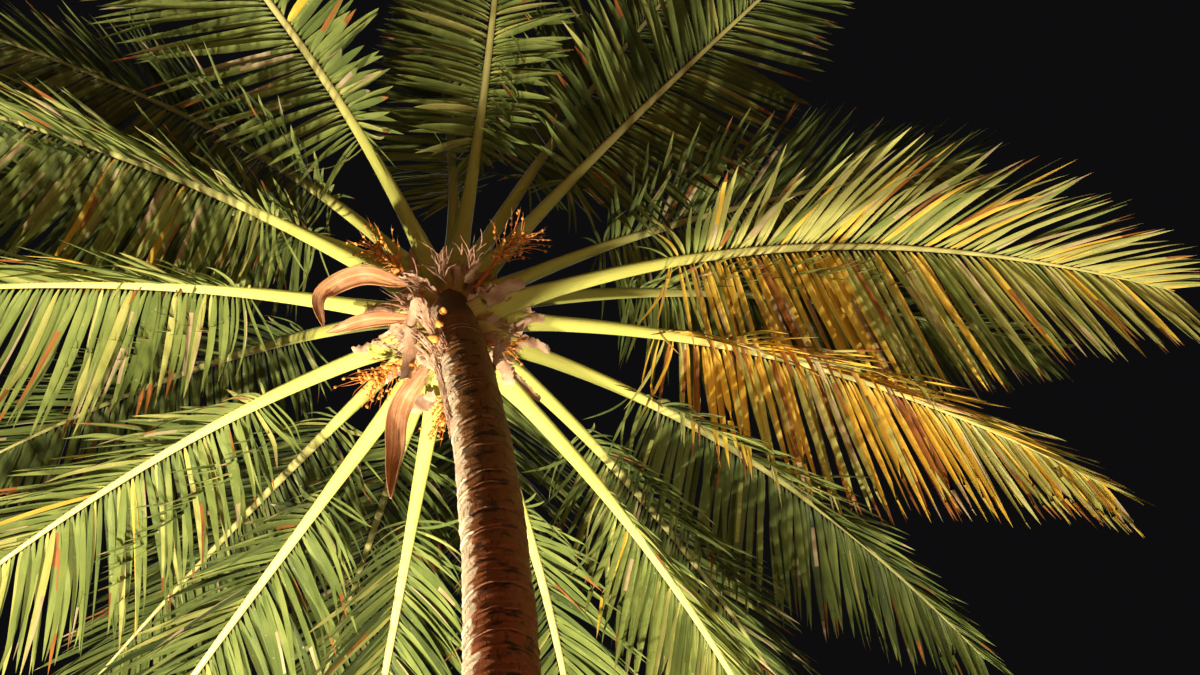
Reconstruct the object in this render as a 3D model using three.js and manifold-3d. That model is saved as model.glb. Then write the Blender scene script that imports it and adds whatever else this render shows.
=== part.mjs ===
// Coconut palm: a whole tree from the flat cut at ground level to the spear leaf.
// Millimetres and degrees, +Z up. The origin is the middle of the flat cut.
// Azimuth 0 is +X and 90 is +Y.
import * as THREE from "three";
import Module from "manifold-3d";

const wasm = await Module();
wasm.setup();

const DEG = Math.PI / 180;
const CLEARANCE = 1;

// The stem leans towards -Y and swings to -X as it nears the crown.
const STEM = {
  height: 6300,
  lean: 870,
  leanPower: 2.3,
  swing: 430,
  swingPower: 4.5,
  radius: 135,
  neckRadius: 128,
  footSwell: 125,
  footFade: 420,
  lowSwell: 32,
  lowFade: 1900,
  rootLobes: 7,
  rootLobeDepth: 0.09,
  rootLobeFade: 260,
  sides: 22,
};
const RING_HEIGHTS = [0, 90, 220, 420, 750, 1250, 1900, 2600, 3300, 4000, 4650, 5200, 5650, 6000, 6300];

// Above the neck the growing core carries the frond bases and ends under the spear.
const CORE = {
  height: 560,
  tipRadius: 34,
  ringShares: [0.45, 1],
  taperPower: 1.2,
  axis: new THREE.Vector3(-0.07, -0.07, 1).normalize(),
};
const SPEAR = {
  length: 1700,
  radius: 34,
  sides: 8,
  pleat: 4,
  stations: [{ share: 0, width: 0.9 }, { share: 0.12, width: 1 }, { share: 0.55, width: 0.72 }],
};

// One row for each frond: where it points, how steeply it leaves the crown, how far
// it bends over by its tip, how far it swings sideways, its seat's height, its length,
// how far its blade is rolled, how much of the full hang its leaflets have, how far those
// of each side stand off the rib, and how long they are beside the usual length.
const FRONDS = [
  { id: "01", azimuth: 278, rise: 72, droop: 69, swing: 2, seat: 380, length: 4400,
    roll: 6, hang: 0.75, sweep: [1.1, 1.25], leaf: 0.75 },
  { id: "02", azimuth: 232, rise: 54, droop: 70, swing: 2, seat: 340, length: 4500,
    roll: 6, hang: 0.65, sweep: [0.82, 1.35], leaf: 0.95 },
  { id: "03", azimuth: 197, rise: 42, droop: 60, swing: 5, seat: 200, length: 4600,
    roll: 20, hang: 0.65, sweep: [0.95, 1], leaf: 0.85 },
  { id: "04", azimuth: 203, rise: 54, droop: 64, swing: 2, seat: 370, length: 4500,
    roll: 12, hang: 0.7, sweep: [0.9, 1.1], leaf: 0.85 },
  { id: "05", azimuth: 180, rise: 34, droop: 66, swing: 4, seat: 100, length: 4600,
    roll: 20, hang: 0.7, sweep: [0.92, 1], leaf: 0.9 },
  { id: "06", azimuth: 189, rise: 48, droop: 66, swing: 3, seat: 410, length: 4300,
    roll: 12, hang: 0.7, sweep: [0.9, 1.1], leaf: 0.85 },
  { id: "07", azimuth: 159, rise: 42, droop: 68, swing: 2, seat: 240, length: 4600,
    roll: 12, hang: 0.7, sweep: [0.9, 1], leaf: 0.85 },
  { id: "08", azimuth: 155, rise: 27, droop: 72, swing: -5, seat: 50, length: 4600,
    roll: 20, hang: 0.65, sweep: [0.9, 1.1], leaf: 0.9 },
  { id: "09", azimuth: 128, rise: 17, droop: 67, swing: 7, seat: 0, length: 4600,
    roll: 14, hang: 0.75, sweep: [0.9, 1.05], leaf: 0.9 },
  { id: "10", azimuth: 134, rise: 32, droop: 70, swing: 6, seat: 210, length: 4500,
    roll: 12, hang: 0.75, sweep: [0.9, 1], leaf: 0.9 },
  { id: "11", azimuth: 108, rise: 17, droop: 68, swing: -4, seat: 20, length: 4600,
    roll: 18, hang: 0.9, sweep: [0.95, 0.9], leaf: 0.9 },
  { id: "12", azimuth: 115, rise: 36, droop: 70, swing: -1, seat: 230, length: 4500,
    roll: 5, hang: 0.8, sweep: [1, 1], leaf: 0.9 },
  { id: "13", azimuth: 80, rise: 20, droop: 70, swing: 6, seat: 80, length: 4500,
    roll: -5, hang: 0.8, sweep: [1, 0.9], leaf: 0.9 },
  { id: "14", azimuth: 58, rise: 15, droop: 73, swing: 5, seat: 20, length: 4600,
    roll: -26, hang: 0.9, sweep: [0.95, 0.6], leaf: 0.9 },
  { id: "15", azimuth: 60, rise: 30, droop: 70, swing: -2, seat: 220, length: 4500,
    roll: -15, hang: 0.8, sweep: [1, 0.75], leaf: 0.9 },
  { id: "16", azimuth: 40, rise: 35, droop: 69, swing: 4, seat: 80, length: 4600,
    roll: -25, hang: 0.75, sweep: [1.2, 0.75], leaf: 0.9 },
  { id: "17", azimuth: 22, rise: 36, droop: 70, swing: 2, seat: 150, length: 4600,
    roll: -28, hang: 0.9, sweep: [0.95, 0.7], leaf: 1, yellow: true },
  { id: "18", azimuth: 18, rise: 47, droop: 67, swing: -4, seat: 280, length: 4600,
    roll: -15, hang: 0.8, sweep: [1, 0.8], leaf: 0.9 },
  { id: "19", azimuth: 0, rise: 40, droop: 68, swing: 13, seat: 120, length: 4800,
    roll: 4, hang: 0.7, sweep: [1, 0.87], leaf: 1.15 },
  { id: "20", azimuth: 7, rise: 60, droop: 67, swing: -14, seat: 300, length: 4600,
    roll: 0, hang: 0.7, sweep: [1, 1], leaf: 1 },
  { id: "21", azimuth: 334, rise: 65, droop: 61, swing: -12, seat: 310, length: 4600,
    roll: 8, hang: 0.7, sweep: [1.15, 1.05], leaf: 0.95 },
  { id: "22", azimuth: 318, rise: 72, droop: 58, swing: 0, seat: 420, length: 4400,
    roll: 6, hang: 0.4, sweep: [1.1, 1.1], leaf: 0.75 },
  { id: "23", azimuth: 254, rise: 80, droop: 44, swing: 2, seat: 450, length: 3600,
    roll: 0, hang: 0.3, sweep: [1, 1], leaf: 0.55 },
  { id: "24", azimuth: 92, rise: 58, droop: 64, swing: 4, seat: 340, length: 4300,
    roll: 0, hang: 0.8, sweep: [1, 1], leaf: 0.9 },
];
const DROOP_POWER = 1.4;
const SEAT_RADIUS = 140;
const SEAT_TAPER = 0.2;
const SEAT_DROP = 100;
const STALK_SHARE = 0.28;

// A stalk clasps the stem with a broad base and narrows to the first leaflets.
const STALK = [
  { at: -50, width: 130, height: 54 },
  { at: 50, width: 146, height: 62 },
  { at: 210, width: 112, height: 64 },
  { at: 520, width: 94, height: 58 },
  { at: 1, width: 74, height: 50, atEnd: true },
];
const STALK_SECTION = [
  [-0.5, 0.3], [-0.42, -0.14], [-0.18, -0.5], [0.18, -0.5],
  [0.42, -0.14], [0.5, 0.3], [0.2, 0.14], [-0.2, 0.14],
];

// The rib carries a pair of leaflets at each pitch; each stands for a few of the plant's.
const RIB = {
  steps: 120,
  startWidth: 73,
  endWidth: 13,
  startHeight: 49,
  endHeight: 12,
  taperPower: 0.8,
  endShare: 0.985,
  tipLength: 60,
};
const LEAFLET = {
  pairs: 14,
  longest: 1040,
  longestAt: 0.38,
  firstShare: 0.5,
  lastShare: 0.4,
  fadePower: 1.3,
  startAngle: 90,
  endAngle: 34,
  anglePower: 1.3,
  fanAngle: 47,
  fanShare: 0.05,
  dip: 20,
  rootHang: 0.9,
  tipHang: 1.4,
  youngStiffness: 0.0011,
  kneeShare: 0.46,
  kneeWidth: 150,
  shortWidthShare: 0.85,
  ridge: 13,
  jitter: 0.06,
};
// A leaflet that would touch a neighbour is tried with other hangs, swept forward, then shorter.
const TRIES = [
  { hang: 1, length: 1, sweep: 1 },
  { hang: 0.55, length: 1, sweep: 1 },
  { hang: 1.5, length: 0.94, sweep: 1 },
  { hang: 0.9, length: 0.95, sweep: 0.8 },
  { hang: 0.2, length: 0.85, sweep: 1 },
  { hang: 2.2, length: 0.8, sweep: 1 },
  { hang: 1, length: 0.8, sweep: 0.62 },
  { hang: 1, length: 0.66, sweep: 1 },
  { hang: 3.2, length: 0.66, sweep: 0.9 },
  { hang: 0.4, length: 0.5, sweep: 0.8 },
  { hang: 1.6, length: 0.4, sweep: 0.7 },
];

// Old flower bracts, each a boat-shaped husk along a curve from its foot to its tip.
// A place on a curve is an azimuth, a radius and a height from the crown's middle.
const BRACTS = [
  { name: "bract_hooked", line: [[216, 260, 130], [205, 500, 180], [192, 680, 110], [183, 650, -90]], width: 112 },
  { name: "bract_hanging", line: [[128, 190, -170], [127, 500, -150], [121, 640, -370], [119, 700, -690]], width: 118 },
  { name: "bract_low", line: [[192, 200, -40], [184, 430, 0], [176, 670, 30]], width: 84 },
];
const BRACT = { wall: 9, depth: 0.42, stations: 7, arcPoints: 5, arcAngle: 80, widestShift: 0.8, fullness: 0.7 };

// Flower branches: a stalk along a curve, then a broom of twigs with small nuts.
const BRANCHES = [
  { name: "flower_branch_upper_left", line: [[215, 165, 130], [214, 330, 320], [213, 480, 400]] },
  { name: "flower_branch_upper_right", line: [[327, 165, 150], [328, 340, 370], [329, 500, 450]] },
  { name: "flower_branch_lower_left", line: [[146, 180, -150], [147, 350, -80], [148, 520, -110]] },
  { name: "flower_branch_by_stem", line: [[100, 175, -190], [99, 310, -210], [98, 410, -340]] },
  { name: "flower_branch_right", line: [[31, 180, -110], [31, 270, -60], [30, 350, -30]], twigScale: 0.6 },
];
const BRANCH = { radius: 15, endRadius: 9, sides: 6, stations: 5 };
const TWIG = {
  count: 8,
  firstAt: 0.55,
  lastAt: 0.97,
  turn: 137.5,
  length: 240,
  shortest: 0.75,
  longest: 1.1,
  radius: 5.5,
  kneeRadius: 4.4,
  spread: 0.75,
  hang: 0.35,
  sink: 3,
};
const NUT = { count: 4, radius: 17, sink: 0.45 };

// Ragged cloth-like fibre that wraps the frond bases on two sides of the neck.
const FIBRES = [
  { name: "fibre_left", from: 150, to: 240, seed: 11 },
  { name: "fibre_right", from: -8, to: 74, seed: 12 },
];
const FIBRE = {
  lowHeight: -420,
  highHeight: -150,
  kneeShare: 0.6,
  lowRadius: 145,
  highRadius: 285,
  kneeReach: 0.25,
  thickness: 8,
  lowThickness: 6,
  columns: 12,
  rag: 70,
};

const COLOUR = {
  bark: 0x7a4a2c,
  stalk: 0xb9bf4a,
  leaf: 0x66762a,
  yellowLeaf: 0xc9a233,
  bract: 0x8a5a38,
  flower: 0xc9702a,
  fibre: 0xb98f6d,
};

function seededRandom(seed) {
  let state = seed;
  return () => {
    state = (state + 0x6d2b79f5) | 0;
    let t = Math.imul(state ^ (state >>> 15), 1 | state);
    t = (t + Math.imul(t ^ (t >>> 7), 61 | t)) ^ t;
    return ((t ^ (t >>> 14)) >>> 0) / 4294967296;
  };
}

const vec = (x, y, z) => new THREE.Vector3(x, y, z);
const mix = (a, b, share) => a + (b - a) * share;
const along = (start, direction, distance) => start.clone().addScaledVector(direction, distance);

// Stem

function stemCentre(z) {
  const share = z / STEM.height;
  return vec(-STEM.swing * share ** STEM.swingPower, -STEM.lean * share ** STEM.leanPower, z);
}

function stemRadius(z) {
  const shaft = mix(STEM.radius, STEM.neckRadius, z / STEM.height);
  const foot = STEM.footSwell * Math.exp(-z / STEM.footFade);
  return shaft + foot + STEM.lowSwell * Math.exp(-z / STEM.lowFade);
}

const CROWN = stemCentre(STEM.height);

// A place given by azimuth, radius and height from the crown's middle.
function crownPoint(azimuth, radius, height) {
  const base = along(CROWN, CORE.axis, height);
  return base.add(vec(radius * Math.cos(azimuth * DEG), radius * Math.sin(azimuth * DEG), 0));
}

// Solids

// Turns points and triangles into a closed solid with its faces outward.
function solidFrom(points, faces) {
  let volume = 0;
  for (const [a, b, c] of faces) {
    volume += points[a].dot(points[b].clone().cross(points[c]));
  }
  const vertProperties = new Float32Array(points.flatMap((p) => [p.x, p.y, p.z]));
  const ordered = faces.flatMap(([a, b, c]) => (volume > 0 ? [a, b, c] : [a, c, b]));
  return new wasm.Manifold(new wasm.Mesh({ numProp: 3, vertProperties, triVerts: new Uint32Array(ordered) }));
}

// Joins rings of points into a closed solid; an end given as one point is a tip.
function loft(rings) {
  const points = [];
  const starts = [];
  for (const ring of rings) {
    starts.push(points.length);
    points.push(...ring);
  }
  const faces = [];
  for (let r = 0; r + 1 < rings.length; r += 1) {
    const [low, high] = [rings[r].length, rings[r + 1].length];
    const sides = Math.max(low, high);
    for (let i = 0; i < sides; i += 1) {
      const next = (i + 1) % sides;
      const [a, b] = [starts[r] + (i % low), starts[r] + (next % low)];
      const [c, d] = [starts[r + 1] + (i % high), starts[r + 1] + (next % high)];
      if (low > 1) faces.push([a, b, d]);
      if (high > 1) faces.push([a, d, c]);
    }
  }
  for (const [end, flip] of [[0, true], [rings.length - 1, false]]) {
    const ring = rings[end];
    if (ring.length === 1) continue;
    const middle = points.length;
    points.push(ring.reduce((sum, p) => sum.add(p), vec(0, 0, 0)).divideScalar(ring.length));
    ring.forEach((_, i) => {
      const [a, b] = [starts[end] + i, starts[end] + ((i + 1) % ring.length)];
      faces.push(flip ? [middle, b, a] : [middle, a, b]);
    });
  }
  return solidFrom(points, faces);
}

// A round ring of points about a centre, square to a direction.
function roundRing(centre, direction, radius, sides) {
  const side = vec(0, 0, 1).cross(direction);
  if (side.length() < 0.01) side.set(1, 0, 0);
  side.normalize();
  const other = direction.clone().cross(side).normalize();
  return Array.from({ length: sides }, (_, i) => {
    const turn = (2 * Math.PI * i) / sides;
    return along(along(centre, side, radius * Math.cos(turn)), other, radius * Math.sin(turn));
  });
}

function largestPiece(solid) {
  const pieces = solid.decompose();
  return pieces.reduce((best, piece) => (piece.volume() > best.volume() ? piece : best), pieces[0]);
}

function boxesMeet(a, b) {
  return [0, 1, 2].every((k) => a.min[k] <= b.max[k] && b.min[k] <= a.max[k]);
}

// The solids placed so far, which later ones are kept clear of.
class Surroundings {
  constructor() {
    this.entries = [];
  }

  add(owner, solid) {
    this.entries.push({ owner, solid, box: solid.boundingBox() });
  }

  near(solid) {
    const box = solid.boundingBox();
    return this.entries.filter((entry) => boxesMeet(entry.box, box));
  }

  touches(solid, owner) {
    return this.near(solid).some((entry) => {
      if (entry.owner === owner) return false;
      return entry.solid.intersect(solid).volume() > 0;
    });
  }
}

function buildStem(grow = 0) {
  const rings = RING_HEIGHTS.map((z) => {
    const centre = stemCentre(z);
    const lobe = STEM.rootLobeDepth * Math.exp(-z / STEM.rootLobeFade);
    return Array.from({ length: STEM.sides }, (_, i) => {
      const turn = (2 * Math.PI * i) / STEM.sides;
      const radius = grow + stemRadius(z) * (1 + lobe * Math.cos(STEM.rootLobes * turn));
      return vec(centre.x + radius * Math.cos(turn), centre.y + radius * Math.sin(turn), z);
    });
  });
  for (const share of CORE.ringShares) {
    const centre = along(CROWN, CORE.axis, CORE.height * share + grow);
    const radius = grow + mix(STEM.neckRadius, CORE.tipRadius, share ** CORE.taperPower);
    rings.push(Array.from({ length: STEM.sides }, (_, i) => {
      const turn = (2 * Math.PI * i) / STEM.sides;
      return vec(centre.x + radius * Math.cos(turn), centre.y + radius * Math.sin(turn), centre.z);
    }));
  }
  return loft(rings);
}

// Fronds

// The line of a frond's rib: its point, direction, side and upper normal at a distance.
class RibLine {
  constructor(frond) {
    this.frond = frond;
    const radius = SEAT_RADIUS - SEAT_TAPER * frond.seat;
    this.start = crownPoint(frond.azimuth, radius, frond.seat - SEAT_DROP);
    this.points = [this.start];
    for (let i = 0; i < RIB.steps; i += 1) {
      const direction = this.direction((i + 0.5) / RIB.steps);
      this.points.push(along(this.points[i], direction, frond.length / RIB.steps));
    }
  }

  bearing(share) {
    return (this.frond.azimuth + this.frond.swing * Math.max(share, 0)) * DEG;
  }

  direction(share) {
    const climb = (this.frond.rise - this.frond.droop * Math.max(share, 0) ** DROOP_POWER) * DEG;
    const bearing = this.bearing(share);
    return vec(Math.cos(climb) * Math.cos(bearing), Math.cos(climb) * Math.sin(bearing), Math.sin(climb));
  }

  at(distance) {
    const share = distance / this.frond.length;
    const direction = this.direction(share);
    const bearing = this.bearing(share);
    const side = vec(Math.sin(bearing), -Math.cos(bearing), 0);
    const normal = side.clone().cross(direction);
    if (share <= 0) return { point: along(this.start, direction, distance), direction, side, normal };
    const place = share * RIB.steps;
    const index = Math.min(Math.floor(place), RIB.steps - 1);
    const point = this.points[index].clone().lerp(this.points[index + 1], place - index);
    return { point, direction, side, normal };
  }

  section(distance, width, height, outline) {
    const { point, side, normal } = this.at(distance);
    return outline.map(([x, y]) => along(along(point, side, x * width), normal, y * height));
  }
}

function buildStalk(line, grow = 0) {
  const end = line.frond.length * STALK_SHARE;
  return loft(STALK.map(({ at, width, height, atEnd }) => {
    const distance = atEnd ? end - at / 2 + grow : at - grow;
    return line.section(distance, width + 2 * grow, height + 2 * grow, STALK_SECTION);
  }));
}

const RIB_SECTION = [[0, 0.5], [0.5, 0.14], [0.5, -0.14], [0, -0.5], [-0.5, -0.14], [-0.5, 0.14]];

function ribRings(line) {
  const start = line.frond.length * STALK_SHARE + CLEARANCE / 2;
  return Array.from({ length: LEAFLET.pairs + 1 }, (_, i) => {
    const share = i / LEAFLET.pairs;
    const distance = mix(start, line.frond.length * RIB.endShare, share);
    const narrowed = share ** RIB.taperPower;
    const width = mix(RIB.startWidth, RIB.endWidth, narrowed);
    return line.section(distance, width, mix(RIB.startHeight, RIB.endHeight, narrowed), RIB_SECTION);
  });
}

// A leaflet's length by its place on the rib: short, long, then short again.
function leafletLength(share) {
  const grown = Math.sin((Math.PI / 2) * Math.min(1, share / LEAFLET.longestAt));
  const faded = Math.max(0, (share - LEAFLET.longestAt) / (1 - LEAFLET.longestAt)) ** LEAFLET.fadePower;
  return LEAFLET.longest * mix(LEAFLET.firstShare, 1, grown) * mix(1, LEAFLET.lastShare, faded);
}

// The knee section and the tip of the leaflet that grows from one side of one pitch.
function leafletShape(line, share, sign, choice, shake) {
  const frond = line.frond;
  const start = frond.length * STALK_SHARE;
  const { point, direction, side, normal } = line.at(mix(start, frond.length * RIB.endShare, share));
  const spread = frond.sweep[sign > 0 ? 0 : 1];
  const fan = LEAFLET.fanAngle * Math.exp(-share / LEAFLET.fanShare);
  const stand = mix(LEAFLET.startAngle, LEAFLET.endAngle, share ** LEAFLET.anglePower) + fan;
  const angle = stand * spread * choice.sweep * DEG;
  const lift = (sign * frond.roll - LEAFLET.dip) * DEG;
  const outward = side.clone().multiplyScalar(sign * Math.cos(lift)).addScaledVector(normal, Math.sin(lift));
  const heading = direction.clone().multiplyScalar(Math.cos(angle)).addScaledVector(outward, Math.sin(angle));
  const hang = choice.hang * frond.hang * (1 - LEAFLET.youngStiffness * frond.seat) * (1 + shake);
  const first = along(heading, vec(0, 0, -1), LEAFLET.rootHang * hang).normalize();
  const second = along(heading, vec(0, 0, -1), LEAFLET.tipHang * hang).normalize();
  const length = leafletLength(share) * frond.leaf * choice.length * (1 + shake / 2);
  const knee = along(point, first, length * LEAFLET.kneeShare);
  const tip = along(knee, second, length * (1 - LEAFLET.kneeShare));
  const across = direction.clone().addScaledVector(first, -direction.dot(first)).normalize();
  const above = across.clone().cross(first).normalize();
  if (above.z < 0) above.negate();
  const width = LEAFLET.kneeWidth * mix(LEAFLET.shortWidthShare, 1, leafletLength(share) / LEAFLET.longest) * choice.length;
  return {
    near: along(knee, across, -width / 2),
    ridge: along(knee, above, LEAFLET.ridge),
    far: along(knee, across, width / 2),
    tip,
  };
}

// The ten faces that join a root quad to the knee section and on to the tip.
function leafletFaces(upperNear, lowerNear, lowerFar, upperFar, near, ridge, far, tip) {
  return [
    [upperNear, ridge, near], [upperNear, upperFar, ridge], [upperFar, far, ridge],
    [lowerNear, near, far], [lowerNear, far, lowerFar],
    [upperNear, near, lowerNear], [upperFar, lowerFar, far],
    [near, ridge, tip], [ridge, far, tip], [far, near, tip],
  ];
}

function leafletSolid(rings, pitch, sign, shape) {
  const [upper, lower] = sign > 0 ? [1, 2] : [5, 4];
  const points = [
    rings[pitch][upper], rings[pitch][lower], rings[pitch + 1][lower], rings[pitch + 1][upper],
    shape.near, shape.ridge, shape.far, shape.tip,
  ];
  return solidFrom(points, [...leafletFaces(0, 1, 2, 3, 4, 5, 6, 7), [0, 1, 2], [0, 2, 3]]);
}

// One closed blade: the rib's rings with a leaflet in place of each side's facet.
function bladeSolid(rings, leaflets) {
  const points = rings.flat();
  const ribSides = rings[0].length;
  const faces = [];
  const corner = (ring, i) => ring * ribSides + (i % ribSides);
  for (let pitch = 0; pitch + 1 < rings.length; pitch += 1) {
    for (let i = 0; i < ribSides; i += 1) {
      const [a, b] = [corner(pitch, i), corner(pitch, i + 1)];
      const [c, d] = [corner(pitch + 1, i + 1), corner(pitch + 1, i)];
      const leaflet = i === 1 || i === 4 ? leaflets.get(`${pitch}:${i === 1 ? 1 : -1}`) : null;
      if (!leaflet) {
        faces.push([a, b, c], [a, c, d]);
        continue;
      }
      const first = points.length;
      points.push(leaflet.near, leaflet.ridge, leaflet.far, leaflet.tip);
      const added = i === 1
        ? leafletFaces(a, b, c, d, first, first + 1, first + 2, first + 3)
        : leafletFaces(b, a, d, c, first, first + 1, first + 2, first + 3).map(([p, q, r]) => [p, r, q]);
      faces.push(...added.map(([p, q, r]) => [p, r, q]));
    }
  }
  const last = rings.length - 1;
  const tip = points.length;
  const ending = rings[last][0].clone().add(rings[last][3]).multiplyScalar(0.5);
  const before = rings[last - 1][0].clone().add(rings[last - 1][3]).multiplyScalar(0.5);
  points.push(along(ending, ending.clone().sub(before).normalize(), RIB.tipLength));
  for (let i = 0; i < ribSides; i += 1) {
    faces.push([corner(last, i), corner(last, i + 1), tip]);
  }
  for (let i = 1; i + 1 < ribSides; i += 1) {
    faces.push([corner(0, 0), corner(0, i + 1), corner(0, i)]);
  }
  return solidFrom(points, faces);
}

// Adds the leaflet of one side of one pitch in the first form that is clear, if any is.
function growLeaflet(line, pitch, sign, surroundings) {
  const share = (pitch + 0.5) / LEAFLET.pairs;
  const shake = LEAFLET.jitter * (2 * line.random() - 1);
  for (const choice of TRIES) {
    const shape = leafletShape(line, share, sign, choice, shake);
    const solid = leafletSolid(line.rings, pitch, sign, shape);
    if (surroundings.touches(solid, line.frond.id)) continue;
    line.leaflets.set(`${pitch}:${sign}`, shape);
    surroundings.add(line.frond.id, solid);
    return;
  }
}

// Spear, bracts, flower branches and fibre

function buildSpear() {
  const foot = along(CROWN, CORE.axis, CORE.height + CLEARANCE);
  const rings = SPEAR.stations.map(({ share, width }) => {
    const centre = along(foot, CORE.axis, SPEAR.length * share);
    return roundRing(centre, CORE.axis, SPEAR.radius * width, SPEAR.sides).map((p, i) => {
      return share === 0 ? vec(p.x, p.y, foot.z) : p.addScaledVector(CORE.axis, i % 2 ? SPEAR.pleat : 0);
    });
  });
  return loft([...rings, [along(foot, CORE.axis, SPEAR.length)]]);
}

function crownCurve(line) {
  return new THREE.CatmullRomCurve3(line.map((place) => crownPoint(...place)));
}

// A husk whose section is a thin arc that opens downwards and closes at both ends.
function buildBract({ line, width }) {
  const curve = crownCurve(line);
  const rings = [[curve.getPointAt(0)]];
  for (let i = 1; i < BRACT.stations; i += 1) {
    const share = i / BRACT.stations;
    const point = curve.getPointAt(share);
    const direction = curve.getTangentAt(share);
    const side = direction.clone().cross(vec(0, 0, 1)).normalize();
    const above = side.clone().cross(direction).normalize();
    const half = (width / 2) * Math.sin(Math.PI * share ** BRACT.widestShift) ** BRACT.fullness;
    const arc = (radius, drop) => Array.from({ length: BRACT.arcPoints }, (_, k) => {
      const turn = mix(-BRACT.arcAngle, BRACT.arcAngle, k / (BRACT.arcPoints - 1)) * DEG;
      const spot = along(point, side, radius * Math.sin(turn));
      return spot.addScaledVector(above, 2 * BRACT.depth * radius * (Math.cos(turn) - 1) - drop);
    });
    rings.push([...arc(half, 0), ...arc(half - BRACT.wall * 0.8, BRACT.wall).reverse()]);
  }
  rings.push([curve.getPointAt(1)]);
  return loft(rings);
}

// A three-sided twig that bends down at its middle and ends in a point.
function buildTwig(start, direction, length) {
  const bent = along(direction, vec(0, 0, -1), TWIG.hang).normalize();
  const knee = along(start, direction, length / 2);
  return loft([
    roundRing(start, direction, TWIG.radius, 3),
    roundRing(knee, direction, TWIG.kneeRadius, 3),
    [along(knee, bent, length / 2)],
  ]);
}

function buildFlowerBranch({ name, line, twigScale = 1 }, seed, surroundings, cutters) {
  const random = seededRandom(seed);
  const curve = crownCurve(line);
  const rings = [];
  for (let i = 0; i <= BRANCH.stations; i += 1) {
    const share = i / BRANCH.stations;
    const radius = mix(BRANCH.radius, BRANCH.endRadius, share);
    rings.push(roundRing(curve.getPointAt(share), curve.getTangentAt(share), radius, BRANCH.sides));
  }
  let solid = loft(rings);
  for (const cutter of cutters) solid = solid.subtract(cutter);
  solid = largestPiece(solid);
  const joinIfClear = (piece) => {
    if (!surroundings.touches(piece, name)) solid = solid.add(piece);
  };
  for (let i = 0; i < TWIG.count; i += 1) {
    const share = mix(TWIG.firstAt, TWIG.lastAt, i / (TWIG.count - 1));
    const heading = curve.getTangentAt(share);
    const turn = i * TWIG.turn * DEG;
    const side = heading.clone().cross(vec(0, 0, 1)).normalize();
    const other = side.clone().cross(heading);
    const outward = side.multiplyScalar(Math.cos(turn)).addScaledVector(other, Math.sin(turn));
    const direction = heading.clone().addScaledVector(outward, TWIG.spread).normalize();
    const start = along(curve.getPointAt(share), direction, -TWIG.sink);
    const length = TWIG.length * twigScale * mix(TWIG.shortest, TWIG.longest, random());
    joinIfClear(buildTwig(start, direction, length));
    if (i < NUT.count) {
      const nut = new THREE.OctahedronGeometry(NUT.radius);
      const centre = along(curve.getPointAt(share), outward, BRANCH.endRadius + NUT.radius * (1 - NUT.sink));
      joinIfClear(solidFromGeometry(nut, centre));
    }
  }
  return largestPiece(solid);
}

// A three.js polyhedron as a solid, moved to a centre.
function solidFromGeometry(geometry, centre) {
  const position = geometry.getAttribute("position");
  const points = [];
  const found = new Map();
  const order = [];
  for (let i = 0; i < position.count; i += 1) {
    const point = new THREE.Vector3().fromBufferAttribute(position, i);
    const key = point.toArray().map((value) => value.toFixed(3)).join();
    if (!found.has(key)) {
      found.set(key, points.length);
      points.push(point.add(centre));
    }
    order.push(found.get(key));
  }
  const faces = [];
  for (let i = 0; i < order.length; i += 3) faces.push(order.slice(i, i + 3));
  return solidFrom(points, faces);
}

// A place round the stem by azimuth, radius and height from the stem's top.
function neckPoint(azimuth, radius, height, lift = 0) {
  const centre = stemCentre(STEM.height + height);
  return centre.add(vec(radius * Math.cos(azimuth * DEG), radius * Math.sin(azimuth * DEG), lift));
}

// A ragged sheet round part of the neck, flaring outwards under the frond bases.
function buildFibre({ from, to, seed }) {
  const random = seededRandom(seed);
  const rings = [];
  for (let i = 0; i <= FIBRE.columns; i += 1) {
    const azimuth = mix(from, to, i / FIBRE.columns);
    const low = FIBRE.lowHeight + FIBRE.rag * (random() - 0.2);
    const high = FIBRE.highHeight + FIBRE.rag * (random() - 0.8);
    const reach = FIBRE.highRadius - FIBRE.rag * random();
    const knee = mix(low, high, FIBRE.kneeShare);
    const kneeRadius = mix(FIBRE.lowRadius, reach, FIBRE.kneeReach);
    rings.push([
      neckPoint(azimuth, FIBRE.lowRadius, low),
      neckPoint(azimuth, kneeRadius, knee),
      neckPoint(azimuth, reach, high),
      neckPoint(azimuth, reach, high, FIBRE.thickness),
      neckPoint(azimuth, kneeRadius - FIBRE.thickness, knee),
      neckPoint(azimuth, FIBRE.lowRadius - FIBRE.lowThickness, low),
    ]);
  }
  return loft(rings);
}

// Assembly

const palm = new THREE.Group();
const surroundings = new Surroundings();

function finish(colour, roughness) {
  return new THREE.MeshStandardMaterial({ color: colour, roughness, metalness: 0 });
}

function place(name, solid, material) {
  const { vertProperties, triVerts } = solid.getMesh();
  const geometry = new THREE.BufferGeometry();
  geometry.setAttribute("position", new THREE.BufferAttribute(vertProperties, 3));
  geometry.setIndex(new THREE.BufferAttribute(triVerts, 1));
  geometry.computeVertexNormals();
  const mesh = new THREE.Mesh(geometry, material);
  mesh.name = name;
  palm.add(mesh);
}

const barkFinish = finish(COLOUR.bark, 0.9);
const stalkFinish = finish(COLOUR.stalk, 0.45);
const leafFinish = finish(COLOUR.leaf, 0.5);
const yellowLeafFinish = finish(COLOUR.yellowLeaf, 0.55);
const bractFinish = finish(COLOUR.bract, 0.8);
const flowerFinish = finish(COLOUR.flower, 0.7);
const fibreFinish = finish(COLOUR.fibre, 0.95);

const stem = buildStem();
surroundings.add("stem", stem);
place("trunk", stem, barkFinish);

const spear = buildSpear();
surroundings.add("spear", spear);
place("spear_leaf", spear, leafFinish);

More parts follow.
